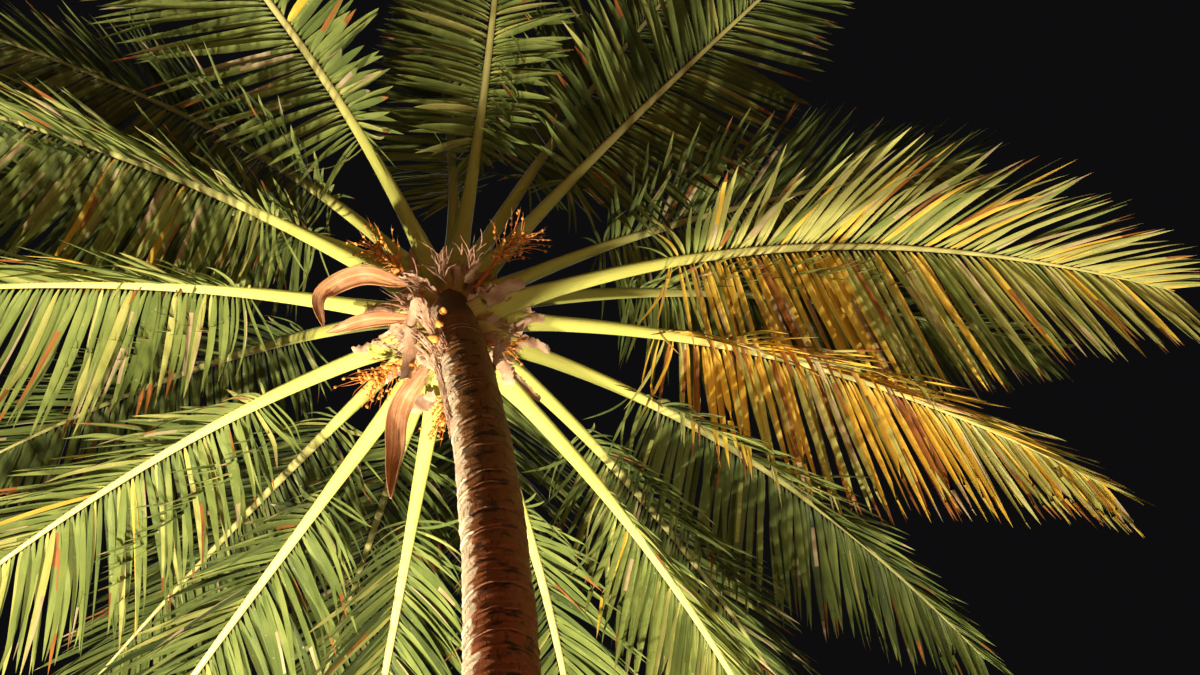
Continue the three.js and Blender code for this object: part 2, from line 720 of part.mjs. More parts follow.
// A base is cut to the stem and to the bases seated below it.
const lines = FRONDS.map((frond) => new RibLine(frond));
const bySeat = [...lines].sort((a, b) => a.frond.seat - b.frond.seat);
const grownSolids = [buildStem(CLEARANCE), spear];
for (const line of bySeat) {
  let stalk = buildStalk(line);
  for (const grown of grownSolids) stalk = stalk.subtract(grown);
  stalk = largestPiece(stalk);
  grownSolids.push(buildStalk(line, CLEARANCE));
  surroundings.add(line.frond.id, stalk);
  line.stalk = stalk;
}
for (const line of lines) place(`stalk_${line.frond.id}`, line.stalk, stalkFinish);

for (const fibre of FIBRES) {
  let sheet = buildFibre(fibre);
  for (const grown of grownSolids) sheet = sheet.subtract(grown);
  sheet = largestPiece(sheet);
  surroundings.add(fibre.name, sheet);
  place(fibre.name, sheet, fibreFinish);
}
for (const bract of BRACTS) {
  const solid = buildBract(bract);
  surroundings.add(bract.name, solid);
  place(bract.name, solid, bractFinish);
}
BRANCHES.forEach((branch, i) => {
  const solid = buildFlowerBranch(branch, i + 1, surroundings, grownSolids);
  surroundings.add(branch.name, solid);
  place(branch.name, solid, flowerFinish);
});

for (const line of lines) {
  line.rings = ribRings(line);
  line.leaflets = new Map();
  line.random = seededRandom(Number(line.frond.id));
  surroundings.add(line.frond.id, bladeSolid(line.rings, line.leaflets));
}
// All blades grow at the same pace, so that none is crowded out by its neighbours.
for (let pitch = 0; pitch < LEAFLET.pairs; pitch += 1) {
  for (const line of lines) {
    for (const sign of [1, -1]) growLeaflet(line, pitch, sign, surroundings);
  }
}
for (const line of lines) {
  const blade = bladeSolid(line.rings, line.leaflets);
  place(`blade_${line.frond.id}`, blade, line.frond.yellow ? yellowLeafFinish : leafFinish);
}

export default palm;
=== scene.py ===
"""Looks of a coconut palm: bark, stalks, leaflets, husks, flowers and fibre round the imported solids."""

from __future__ import annotations

import functools
import logging
import math
import random
from dataclasses import dataclass, field
from enum import Enum
from typing import Callable, Iterable, Sequence

import bmesh
import bpy
import numpy as np
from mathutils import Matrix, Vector


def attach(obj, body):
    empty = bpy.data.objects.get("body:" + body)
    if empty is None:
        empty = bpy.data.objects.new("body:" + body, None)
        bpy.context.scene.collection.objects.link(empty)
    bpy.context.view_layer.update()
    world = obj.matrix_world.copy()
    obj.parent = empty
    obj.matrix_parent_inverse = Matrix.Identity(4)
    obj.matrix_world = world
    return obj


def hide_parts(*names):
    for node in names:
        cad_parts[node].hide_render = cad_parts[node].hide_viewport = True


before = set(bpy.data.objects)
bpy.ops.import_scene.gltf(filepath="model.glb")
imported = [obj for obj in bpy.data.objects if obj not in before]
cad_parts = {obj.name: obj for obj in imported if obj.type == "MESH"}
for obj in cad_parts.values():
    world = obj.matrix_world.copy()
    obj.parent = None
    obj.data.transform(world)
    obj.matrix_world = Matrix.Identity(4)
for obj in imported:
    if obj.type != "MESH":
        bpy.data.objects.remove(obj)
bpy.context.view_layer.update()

LOG = logging.getLogger("palm")
BODY = "root"
UP = np.array([0.0, 0.0, 1.0])
Colour = tuple[float, float, float]
Place = tuple[float, float, float]
Span = tuple[float, float]
Face = tuple[int, ...]
Shaper = Callable[[bpy.types.Object], None]
GRAIN = "grain"


def mix(low: float, high: float, share: float) -> float:
    """The value a share of the way from low to high."""
    return low + (high - low) * share


def unit(rows: np.ndarray) -> np.ndarray:
    """Rows of directions at length one."""
    return rows / np.linalg.norm(rows, axis=-1, keepdims=True)


def outward(azimuth: float) -> np.ndarray:
    """The level direction at an azimuth in degrees from +X towards +Y."""
    turn = math.radians(azimuth)
    return np.array([math.cos(turn), math.sin(turn), 0.0])


def between(wanted: np.ndarray, known: np.ndarray, rows: np.ndarray) -> np.ndarray:
    """Rows at wanted values, blended from the rows that belong to known values."""
    return np.stack([np.interp(wanted, known, rows[:, k]) for k in range(3)], axis=-1)


# Growth rules, with the sizes that the solids have


@dataclass(frozen=True)
class Stem:
    """The trunk's line and girth, in metres."""

    height: float = 6.3
    lean: float = 0.87
    lean_power: float = 2.3
    swing: float = 0.43
    swing_power: float = 4.5
    radius: float = 0.135
    neck_radius: float = 0.128
    foot_swell: float = 0.125
    foot_fade: float = 0.42
    low_swell: float = 0.032
    low_fade: float = 1.9
    root_lobes: int = 7
    lobe_depth: float = 0.09
    lobe_fade: float = 0.26
    core_height: float = 0.56
    core_tip: float = 0.034
    core_lean: Place = (-0.07, -0.07, 1.0)

    def centre(self, z: float) -> np.ndarray:
        """The middle of the trunk at a height."""
        share = max(z, 0.0) / self.height
        return np.array([-self.swing * share**self.swing_power, -self.lean * share**self.lean_power, z])

    def girth(self, z: float) -> float:
        """The trunk's plain radius at a height."""
        shaft = mix(self.radius, self.neck_radius, z / self.height)
        foot = self.foot_swell * math.exp(-z / self.foot_fade)
        return shaft + foot + self.low_swell * math.exp(-z / self.low_fade)

    def crown_point(self, azimuth: float, radius: float, height: float) -> np.ndarray:
        """A place in the crown.

        Args:
            azimuth: Degrees from +X towards +Y.
            radius: Distance from the crown's axis.
            height: Height along the axis from the top of the shaft.

        Returns:
            The place in the frame.
        """
        axis = unit(np.array(self.core_lean))
        return self.centre(self.height) + axis * height + radius * outward(azimuth)


STEM = Stem()


class LeafAge(Enum):
    """How far a frond's leaflets have aged."""

    YOUNG = "young"
    FULL = "full"
    WORN = "worn"
    TURNING = "turning"
    YELLOW = "yellow"


@dataclass(frozen=True)
class FrondPlan:
    """Where a frond points and how it bends: degrees, and metres for the seat and the length."""

    name: str
    azimuth: float
    rise: float
    droop: float
    swing: float
    seat: float
    length: float
    roll: float = 0.0
    hang: float = 0.8
    sweep: Span = (1.0, 1.0)
    leaf: float = 1.0
    age: LeafAge = LeafAge.FULL

    @property
    def seed(self) -> int:
        """The number that the frond's own random choices start from."""
        return int(self.name)


FRONDS = (
    FrondPlan("01", 278, 72, 69, 2, 0.38, 4.4, 6, 0.75, (1.10, 1.25), 0.75, LeafAge.YOUNG),
    FrondPlan("02", 232, 54, 70, 2, 0.34, 4.5, 6, 0.65, (0.82, 1.35), 0.95, LeafAge.WORN),
    FrondPlan("03", 197, 42, 60, 5, 0.20, 4.6, 20, 0.65, (0.95, 1.00), 0.85, LeafAge.WORN),
    FrondPlan("04", 203, 54, 64, 2, 0.37, 4.5, 12, 0.70, (0.90, 1.10), 0.85),
    FrondPlan("05", 180, 34, 66, 4, 0.10, 4.6, 20, 0.70, (0.92, 1.00), 0.90, LeafAge.WORN),
    FrondPlan("06", 189, 48, 66, 3, 0.41, 4.3, 12, 0.70, (0.90, 1.10), 0.85),
    FrondPlan("07", 159, 42, 68, 2, 0.24, 4.6, 12, 0.70, (0.90, 1.00), 0.85),
    FrondPlan("08", 155, 27, 72, -5, 0.05, 4.6, 20, 0.65, (0.90, 1.10), 0.90, LeafAge.WORN),
    FrondPlan("09", 128, 17, 67, 7, 0.00, 4.6, 14, 0.75, (0.90, 1.05), 0.90),
    FrondPlan("10", 134, 32, 70, 6, 0.21, 4.5, 12, 0.75, (0.90, 1.00), 0.90),
    FrondPlan("11", 108, 17, 68, -4, 0.02, 4.6, 18, 0.90, (0.95, 0.90), 0.90),
    FrondPlan("12", 115, 36, 70, -1, 0.23, 4.5, 5, 0.80, (1.00, 1.00), 0.90),
    FrondPlan("13", 80, 20, 70, 6, 0.08, 4.5, -5, 0.80, (1.00, 0.90), 0.90),
    FrondPlan("14", 58, 15, 73, 5, 0.02, 4.6, -26, 0.90, (0.95, 0.60), 0.90, LeafAge.WORN),
    FrondPlan("15", 60, 30, 70, -2, 0.22, 4.5, -15, 0.80, (1.00, 0.75), 0.90),
    FrondPlan("16", 40, 35, 69, 4, 0.08, 4.6, -25, 0.75, (1.20, 0.75), 0.90),
    FrondPlan("17", 22, 36, 70, 2, 0.15, 4.6, -28, 0.90, (0.95, 0.70), 1.00, LeafAge.YELLOW),
    FrondPlan("18", 18, 47, 67, -4, 0.28, 4.6, -15, 0.80, (1.00, 0.80), 0.90),
    FrondPlan("19", 0, 40, 68, 13, 0.12, 4.8, 4, 0.70, (1.00, 0.87), 1.15, LeafAge.TURNING),
    FrondPlan("20", 7, 60, 67, -14, 0.30, 4.6, 0, 0.70, (1.00, 1.00), 1.00),
    FrondPlan("21", 334, 65, 61, -12, 0.31, 4.6, 8, 0.70, (1.15, 1.05), 0.95),
    FrondPlan("22", 318, 72, 58, 0, 0.42, 4.4, 6, 0.40, (1.10, 1.10), 0.75),
    FrondPlan("23", 254, 80, 44, 2, 0.45, 3.6, 0, 0.30, (1.00, 1.00), 0.55, LeafAge.YOUNG),
    FrondPlan("24", 92, 58, 64, 4, 0.34, 4.3, 0, 0.80, (1.00, 1.00), 0.90, LeafAge.YOUNG),
)


@dataclass(frozen=True)
class FrondRule:
    """Sizes that every frond shares."""

    droop_power: float = 1.4
    seat_radius: float = 0.14
    seat_taper: float = 0.2
    seat_drop: float = 0.1
    stalk_share: float = 0.28
    rib_end: float = 0.985
    steps: int = 120


RULE = FrondRule()


class RibLine:
    """The line of a frond's rib, from its seat in the crown to its tip."""

    def __init__(self, plan: FrondPlan) -> None:
        """Walks the line in short steps.

        Args:
            plan: The frond that the line belongs to.
        """
        self.plan = plan
        radius = RULE.seat_radius - RULE.seat_taper * plan.seat
        start = STEM.crown_point(plan.azimuth, radius, plan.seat - RULE.seat_drop)
        shares = (np.arange(RULE.steps) + 0.5) / RULE.steps
        steps = self.direction(shares) * plan.length / RULE.steps
        self.points = np.vstack([start, start + np.cumsum(steps, axis=0)])

    def bearing(self, share: np.ndarray) -> np.ndarray:
        """The compass direction in radians at shares of the length."""
        return np.radians(self.plan.azimuth + self.plan.swing * np.maximum(share, 0.0))

    def direction(self, share: np.ndarray) -> np.ndarray:
        """The line's directions at shares of the length."""
        climb = np.radians(self.plan.rise - self.plan.droop * np.maximum(share, 0.0) ** RULE.droop_power)
        turn = self.bearing(share)
        return np.stack([np.cos(climb) * np.cos(turn), np.cos(climb) * np.sin(turn), np.sin(climb)], axis=-1)

    def at(self, distance: np.ndarray) -> tuple[np.ndarray, np.ndarray, np.ndarray, np.ndarray]:
        """Points and directions on the line.

        Args:
            distance: Distances from the seat; a negative one lies inside the trunk.

        Returns:
            Rows of points, directions, directions to the side and upper normals.
        """
        share = np.asarray(distance, float) / self.plan.length
        place = np.clip(share, 0.0, 1.0) * RULE.steps
        point = between(place, np.arange(RULE.steps + 1), self.points)
        direction = self.direction(share)
        point = point + direction * np.minimum(distance, 0.0)[..., None]
        turn = self.bearing(share)
        side = np.stack([np.sin(turn), -np.cos(turn), np.zeros_like(turn)], axis=-1)
        return point, direction, side, np.cross(side, direction)

    def route(self, start: float, end: float, gap: float) -> np.ndarray:
        """Points on the line at an even gap."""
        return self.at(np.linspace(start, end, max(2, round((end - start) / gap))))[0]

    def leaf_distance(self, share: np.ndarray) -> np.ndarray:
        """Distances from the seat at shares of the leaf-bearing stretch."""
        start = self.plan.length * RULE.stalk_share
        return start + (self.plan.length * RULE.rib_end - start) * share


# Modelling


@dataclass(frozen=True)
class Section:
    """The width and depth of a limb at a distance from its foot."""

    at: float
    width: float
    depth: float


def clear_selection() -> None:
    """Deselects every object."""
    bpy.ops.object.select_all(action="DESELECT")


def pick(piece: bpy.types.Object, wanted: Callable[[bmesh.types.BMVert], bool]) -> None:
    """Selects some of a mesh's points in edit mode.

    Args:
        piece: The mesh object.
        wanted: Says of a point whether it is wanted.
    """
    shape = bmesh.from_edit_mesh(piece.data)
    for point in shape.verts:
        point.select = wanted(point)
    shape.select_flush_mode()
    bmesh.update_edit_mesh(piece.data)


def scale_at(height: float, width: float, depth: float, climb: float = 1.0) -> None:
    """Scales the selected points about the Z axis at a height."""
    bpy.ops.transform.resize(value=(width, depth, climb), center_override=(0.0, 0.0, height))


def extrude_up(distance: float) -> None:
    """Draws the selected outline straight up."""
    bpy.ops.mesh.extrude_region_move(TRANSFORM_OT_translate={"value": (0.0, 0.0, distance)})


def leave_edit() -> None:
    """Turns all faces outwards and leaves edit mode."""
    bpy.ops.mesh.select_all(action="SELECT")
    bpy.ops.mesh.normals_make_consistent(inside=False)
    bpy.ops.object.mode_set(mode="OBJECT")


def raise_limb(sides: int, sections: Sequence[Section], shape: Shaper | None = None) -> bpy.types.Object:
    """Models a straight limb up the Z axis by extruding a circle through its sections.

    Args:
        sides: Number of points round the limb.
        sections: Sizes from the foot up.
        shape: Shapes the round outline in edit mode before it is drawn up.

    Returns:
        The closed limb.
    """
    clear_selection()
    bpy.ops.mesh.primitive_circle_add(vertices=sides, radius=1.0, fill_type="NGON")
    piece = bpy.context.object
    bpy.ops.object.mode_set(mode="EDIT")
    if shape:
        shape(piece)
    bpy.ops.mesh.select_all(action="SELECT")
    foot = sections[0]
    scale_at(0.0, foot.width / 2, foot.depth / 2)
    bpy.ops.transform.translate(value=(0.0, 0.0, foot.at))
    for low, high in zip(sections, sections[1:]):
        extrude_up(high.at - low.at)
        scale_at(high.at, high.width / low.width, high.depth / low.depth)
    leave_edit()
    return piece


def add_grid(columns: int, rows: int) -> tuple[bpy.types.Object, np.ndarray]:
    """Adds a flat grid to be shaped into a sheet.

    Args:
        columns: Number of faces across.
        rows: Number of faces along.

    Returns:
        The grid, and where each of its points lies from 0 to 1 both ways.
    """
    clear_selection()
    bpy.ops.mesh.primitive_grid_add(x_subdivisions=columns, y_subdivisions=rows, size=1.0)
    piece = bpy.context.object
    return piece, coordinates(piece) + np.array([0.5, 0.5, 0.0])


def apply_modifier(piece: bpy.types.Object, kind: str, **settings: object) -> None:
    """Adds a modifier with its settings and applies it."""
    bpy.context.view_layer.objects.active = piece
    modifier = piece.modifiers.new(kind.lower(), kind)
    for name, value in settings.items():
        setattr(modifier, name, value)
    bpy.ops.object.modifier_apply(modifier=modifier.name)


def lay_along(piece: bpy.types.Object, points: np.ndarray, twist: str = "Z_UP") -> None:
    """Bends a straight limb onto a line, so that its height becomes the distance along it.

    Args:
        piece: The straight limb.
        points: The line's points.
        twist: How the curve keeps its roll.
    """
    data = bpy.data.curves.new("line", "CURVE")
    data.dimensions = "3D"
    data.twist_mode = twist
    spline = data.splines.new("POLY")
    spline.points.add(len(points) - 1)
    for knot, place in zip(spline.points, points):
        knot.co = (*place, 1.0)
    holder = bpy.data.objects.new("line", data)
    bpy.context.collection.objects.link(holder)
    apply_modifier(piece, "CURVE", object=holder, deform_axis="POS_Z")
    bpy.data.objects.remove(holder)


def coordinates(piece: bpy.types.Object) -> np.ndarray:
    """A mesh's points as rows."""
    rows = np.empty(len(piece.data.vertices) * 3)
    piece.data.vertices.foreach_get("co", rows)
    return rows.reshape(-1, 3)


def move_points(piece: bpy.types.Object, rows: np.ndarray) -> None:
    """Puts a mesh's points at the given rows."""
    piece.data.vertices.foreach_set("co", rows.ravel())
    piece.data.update()


def keep_vector(piece: bpy.types.Object, name: str, rows: np.ndarray) -> None:
    """Stores a direction or place for each point as an attribute."""
    piece.data.attributes.new(name, "FLOAT_VECTOR", "POINT").data.foreach_set("vector", rows.ravel())


def keep_value(piece: bpy.types.Object, name: str, values: np.ndarray) -> None:
    """Stores a number for each point as an attribute."""
    piece.data.attributes.new(name, "FLOAT", "POINT").data.foreach_set("value", values)


def keep_grain(piece: bpy.types.Object, rows: np.ndarray) -> None:
    """Stores the pattern coordinates of a mesh.

    Args:
        piece: The mesh object.
        rows: Two coordinates for each point.
    """
    layers = piece.data.uv_layers
    layer = layers[0] if layers else layers.new()
    layer.name = GRAIN
    corner = np.empty(len(piece.data.loops), dtype=np.int32)
    piece.data.loops.foreach_get("vertex_index", corner)
    layer.data.foreach_set("uv", rows[corner].ravel())


@dataclass
class Batch:
    """Points, faces and colours of many small shapes that are joined in one mesh."""

    points: list[np.ndarray] = field(default_factory=list)
    faces: list[Face] = field(default_factory=list)
    slots: list[int] = field(default_factory=list)
    grain: list[np.ndarray] = field(default_factory=list)
    count: int = 0

    def add(self, points: np.ndarray, faces: Iterable[Face], slots: Iterable[int], grain: np.ndarray) -> None:
        """Adds one shape.

        Args:
            points: Rows of places.
            faces: Point numbers of each face.
            slots: The finish of each face.
            grain: Two pattern coordinates for each point.
        """
        self.points.append(points)
        self.grain.append(grain)
        self.faces.extend(tuple(self.count + i for i in face) for face in faces)
        self.slots.extend(slots)
        self.count += len(points)

    def piece(self, name: str) -> bpy.types.Object:
        """The joined mesh as an object."""
        data = bpy.data.meshes.new(name)
        data.from_pydata(np.vstack(self.points).tolist(), [], self.faces)
        data.polygons.foreach_set("material_index", self.slots)
        made = bpy.data.objects.new(name, data)
        keep_grain(made, np.vstack(self.grain))
        bpy.context.collection.objects.link(made)
        return made


@functools.cache
def tube_faces(stations: int, sides: int) -> list[Face]:
    """Works out the faces of a closed tube whose last point, after its rings, is its tip.

    Args:
        stations: Number of rings.
        sides: Number of points in a ring.

    Returns:
        Point numbers of each face.
    """
    faces = [tuple(reversed(range(sides)))]
    for ring in range(stations - 1):
        low, high = ring * sides, (ring + 1) * sides
        faces += [(low + i, low + (i + 1) % sides, high + (i + 1) % sides, high + i) for i in range(sides)]
    last = (stations - 1) * sides
    return faces + [(last + i, last + (i + 1) % sides, stations * sides) for i in range(sides)]


def settle(piece: bpy.types.Object, name: str, finishes: Sequence[Finish],
           stands_for: Sequence[str] = (), crease: float = 40.0) -> bpy.types.Object:
    """Names, shades and dresses a finished piece and ties it to the palm.

    Args:
        piece: The finished mesh object.
        name: Its name.
        finishes: Its surfaces, in the order of its material slots.
        stands_for: The solids that it is shown in place of.
        crease: Angle in degrees past which an edge stays sharp.

    Returns:
        The same piece.
    """
    piece.name = name
    piece.data.name = name
    for finish in finishes:
        piece.data.materials.append(finish.material())
    clear_selection()
    piece.select_set(True)
    bpy.context.view_layer.objects.active = piece
    bpy.ops.object.shade_smooth_by_angle(angle=math.radians(crease))
    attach(piece, BODY)
    for node in stands_for:
        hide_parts(node)
    LOG.info("%s: %d faces", name, len(piece.data.polygons))
    return piece


# Surfaces


class Sheet:
    """The nodes of one material or node group."""

    def __init__(self, tree: bpy.types.NodeTree) -> None:
        """Keeps the tree that nodes are added to."""
        self.tree = tree

    def feed(self, socket: bpy.types.NodeSocket, value: object) -> None:
        """Joins an input to another node's output, or gives it a value.

        Args:
            socket: The input.
            value: The output, or the value; a colour without its alpha.
        """
        if isinstance(value, bpy.types.NodeSocket):
            self.tree.links.new(value, socket)
        else:
            socket.default_value = (*value, 1.0) if socket.type == "RGBA" else value

    def add(self, kind: str, sockets: dict[str | int, object] | None = None,
            **settings: object) -> bpy.types.Node:
        """Adds a node.

        Args:
            kind: The node's type.
            sockets: Its input sockets, each with its value or another node's output.
            settings: Its own settings.

        Returns:
            The node.
        """
        node = self.tree.nodes.new(kind)
        for name, value in settings.items():
            setattr(node, name, value)
        for name, value in (sockets or {}).items():
            self.feed(node.inputs[name], value)
        return node

    def blend(self, share: object, low: object, high: object, way: str = "MIX") -> bpy.types.NodeSocket:
        """The colour a share of the way between two."""
        sockets = {"Factor": share, 6: low, 7: high}
        return self.add("ShaderNodeMix", sockets, data_type="RGBA", blend_type=way).outputs[2]

    def overlay(self, ground: object, colour: object, mask: object, strength: float) -> bpy.types.NodeSocket:
        """A colour laid on the ground where a mask allows it, at a strength."""
        return self.blend(self.maths("MULTIPLY", mask, strength), ground, colour)

    def ramp(self, value: bpy.types.NodeSocket,
             stops: Sequence[tuple[float, Colour]]) -> bpy.types.NodeSocket:
        """Gives each value a colour.

        Args:
            value: The value from 0 to 1.
            stops: Values and their colours, in order.

        Returns:
            The colour's socket, blended between the stops.
        """
        node = self.add("ShaderNodeValToRGB", {"Fac": value})
        band = node.color_ramp
        while len(band.elements) < len(stops):
            band.elements.new(1.0)
        for element, (place, colour) in zip(band.elements, stops):
            element.position = place
            element.color = (*colour, 1.0)
        return node.outputs["Color"]

    def spread(self, value: bpy.types.NodeSocket, low: object, high: object) -> bpy.types.NodeSocket:
        """A mask that rises from 0 to 1 as a value goes from low to high."""
        sockets = {"Value": value, "From Min": low, "From Max": high}
        return self.add("ShaderNodeMapRange", sockets, interpolation_type="SMOOTHSTEP").outputs["Result"]

    def maths(self, work: str, first: object, second: object = 0.0) -> bpy.types.NodeSocket:
        """The result of a sum on one or two values."""
        return self.add("ShaderNodeMath", {0: first, 1: second}, operation=work).outputs[0]

    def stretch(self, vector: bpy.types.NodeSocket, by: object) -> bpy.types.NodeSocket:
        """A pattern's place with each axis scaled."""
        return self.add("ShaderNodeVectorMath", {0: vector, 1: by}, operation="MULTIPLY").outputs[0]

    def noise(self, vector: bpy.types.NodeSocket, scale: object = 1.0, detail: float = 2.0,
              roughness: float = 0.5) -> bpy.types.NodeSocket:
        """Smooth noise over a pattern's place."""
        sockets = {"Vector": vector, "Scale": scale, "Detail": detail, "Roughness": roughness}
        return self.add("ShaderNodeTexNoise", sockets).outputs[0]

    def mottle(self, vector: bpy.types.NodeSocket, light: Colour, dark: Colour, scale: float,
               balance: float = 0.5) -> bpy.types.NodeSocket:
        """Two colours in soft patches."""
        sockets = {"Vector": vector, "Light": light, "Dark": dark, "Scale": scale, "Balance": balance,
                   "Softness": 0.15}
        return self.add("ShaderNodeGroup", sockets, node_tree=mottle_group()).outputs["Color"]

    def patches(self, vector: bpy.types.NodeSocket, scale: float, balance: float = 0.5,
                softness: float = 0.15) -> bpy.types.NodeSocket:
        """The mask of soft patches."""
        sockets = {"Vector": vector, "Scale": scale, "Balance": balance, "Softness": softness}
        return self.add("ShaderNodeGroup", sockets, node_tree=mottle_group()).outputs["Mask"]

    def streaks(self, vector: bpy.types.NodeSocket, across: float, along: float, balance: float = 0.5,
                softness: float = 0.12) -> bpy.types.NodeSocket:
        """The mask of fine streaks that run along one way of a pattern."""
        sockets = {"Vector": vector, "Across": across, "Along": along, "Balance": balance,
                   "Softness": softness}
        return self.add("ShaderNodeGroup", sockets, node_tree=streak_group()).outputs["Mask"]

    def stored(self, name: str, output: str) -> bpy.types.NodeSocket:
        """A value that the mesh keeps for each point."""
        return self.add("ShaderNodeAttribute", attribute_name=name).outputs[output]

    def place(self) -> bpy.types.NodeSocket:
        """The place in the object's own space."""
        return self.add("ShaderNodeTexCoord").outputs["Object"]

    def grain(self) -> bpy.types.NodeSocket:
        """The piece's own pattern coordinates."""
        return self.add("ShaderNodeUVMap", uv_map=GRAIN).outputs["UV"]


VECTOR = "NodeSocketVector"
COLOUR = "NodeSocketColor"
NUMBER = "NodeSocketFloat"


def start_group(name: str, takes: dict[str, str], gives: dict[str, str]) -> tuple[Sheet, bpy.types.Node]:
    """Starts a node group.

    Args:
        name: The group's name.
        takes: Type of each input.
        gives: Type of each output.

    Returns:
        The group's sheet and its input node.
    """
    tree = bpy.data.node_groups.new(name, "ShaderNodeTree")
    for side, sockets in (("INPUT", takes), ("OUTPUT", gives)):
        for label, kind in sockets.items():
            tree.interface.new_socket(label, in_out=side, socket_type=kind)
    sheet = Sheet(tree)
    return sheet, sheet.add("NodeGroupInput")


def past_balance(sheet: Sheet, given: bpy.types.Node, noise: bpy.types.NodeSocket) -> bpy.types.NodeSocket:
    """The mask of where a group's noise lies above its balance, with its softness."""
    balance, softness = given.outputs["Balance"], given.outputs["Softness"]
    low = sheet.maths("SUBTRACT", balance, softness)
    return sheet.spread(noise, low, sheet.maths("ADD", balance, softness))


@functools.cache
def mottle_group() -> bpy.types.NodeTree:
    """Two colours in soft patches.

    Returns:
        A group with a colour and the patches' mask.
    """
    takes = {"Vector": VECTOR, "Light": COLOUR, "Dark": COLOUR, "Scale": NUMBER, "Balance": NUMBER,
             "Softness": NUMBER}
    sheet, given = start_group("mottle", takes, {"Color": COLOUR, "Mask": NUMBER})
    noise = sheet.noise(given.outputs["Vector"], given.outputs["Scale"], detail=5.0)
    mask = past_balance(sheet, given, noise)
    colour = sheet.blend(mask, given.outputs["Light"], given.outputs["Dark"])
    sheet.add("NodeGroupOutput", {"Color": colour, "Mask": mask})
    return sheet.tree


@functools.cache
def streak_group() -> bpy.types.NodeTree:
    """Fine streaks that run along one way of a pattern.

    Returns:
        A group with the streaks' mask.
    """
    takes = {"Vector": VECTOR, "Across": NUMBER, "Along": NUMBER, "Balance": NUMBER, "Softness": NUMBER}
    sheet, given = start_group("streaks", takes, {"Mask": NUMBER})
    across = given.outputs["Across"]
    scale = sheet.add("ShaderNodeCombineXYZ", {"X": across, "Y": across, "Z": given.outputs["Along"]})
    noise = sheet.noise(sheet.stretch(given.outputs["Vector"], scale.outputs[0]), detail=3.0)
    sheet.add("NodeGroupOutput", {"Mask": past_balance(sheet, given, noise)})
    return sheet.tree


@dataclass
class Look:
    """What a finish puts into its shader."""

    colour: bpy.types.NodeSocket
    roughness: bpy.types.NodeSocket
    height: bpy.types.NodeSocket
    depth: float
    sheen: float = 0.0
    coat: float = 0.0


class Finish:
    """A procedural surface. Each kind works out its own look."""

    name: str

    def look(self, sheet: Sheet) -> Look:
        """Works out the pattern's colour, roughness and height."""
        raise NotImplementedError

    def material(self) -> bpy.types.Material:
        """The finish as a material, made once.

        Returns:
            The material.
        """
        known = bpy.data.materials.get(self.name)
        if known:
            return known
        made = bpy.data.materials.new(self.name)
        made.use_nodes = True
        made.node_tree.nodes.clear()
        sheet = Sheet(made.node_tree)
        look = self.look(sheet)
        bump = sheet.add("ShaderNodeBump", {"Strength": 1.0, "Distance": look.depth, "Height": look.height})
        shader = sheet.add("ShaderNodeBsdfPrincipled", {
            "Base Color": look.colour,
            "Roughness": look.roughness,
            "Normal": bump.outputs["Normal"],
            "Sheen Weight": look.sheen,
            "Coat Weight": look.coat,
        })
        sheet.add("ShaderNodeOutputMaterial", {"Surface": shader.outputs[0]})
        return made


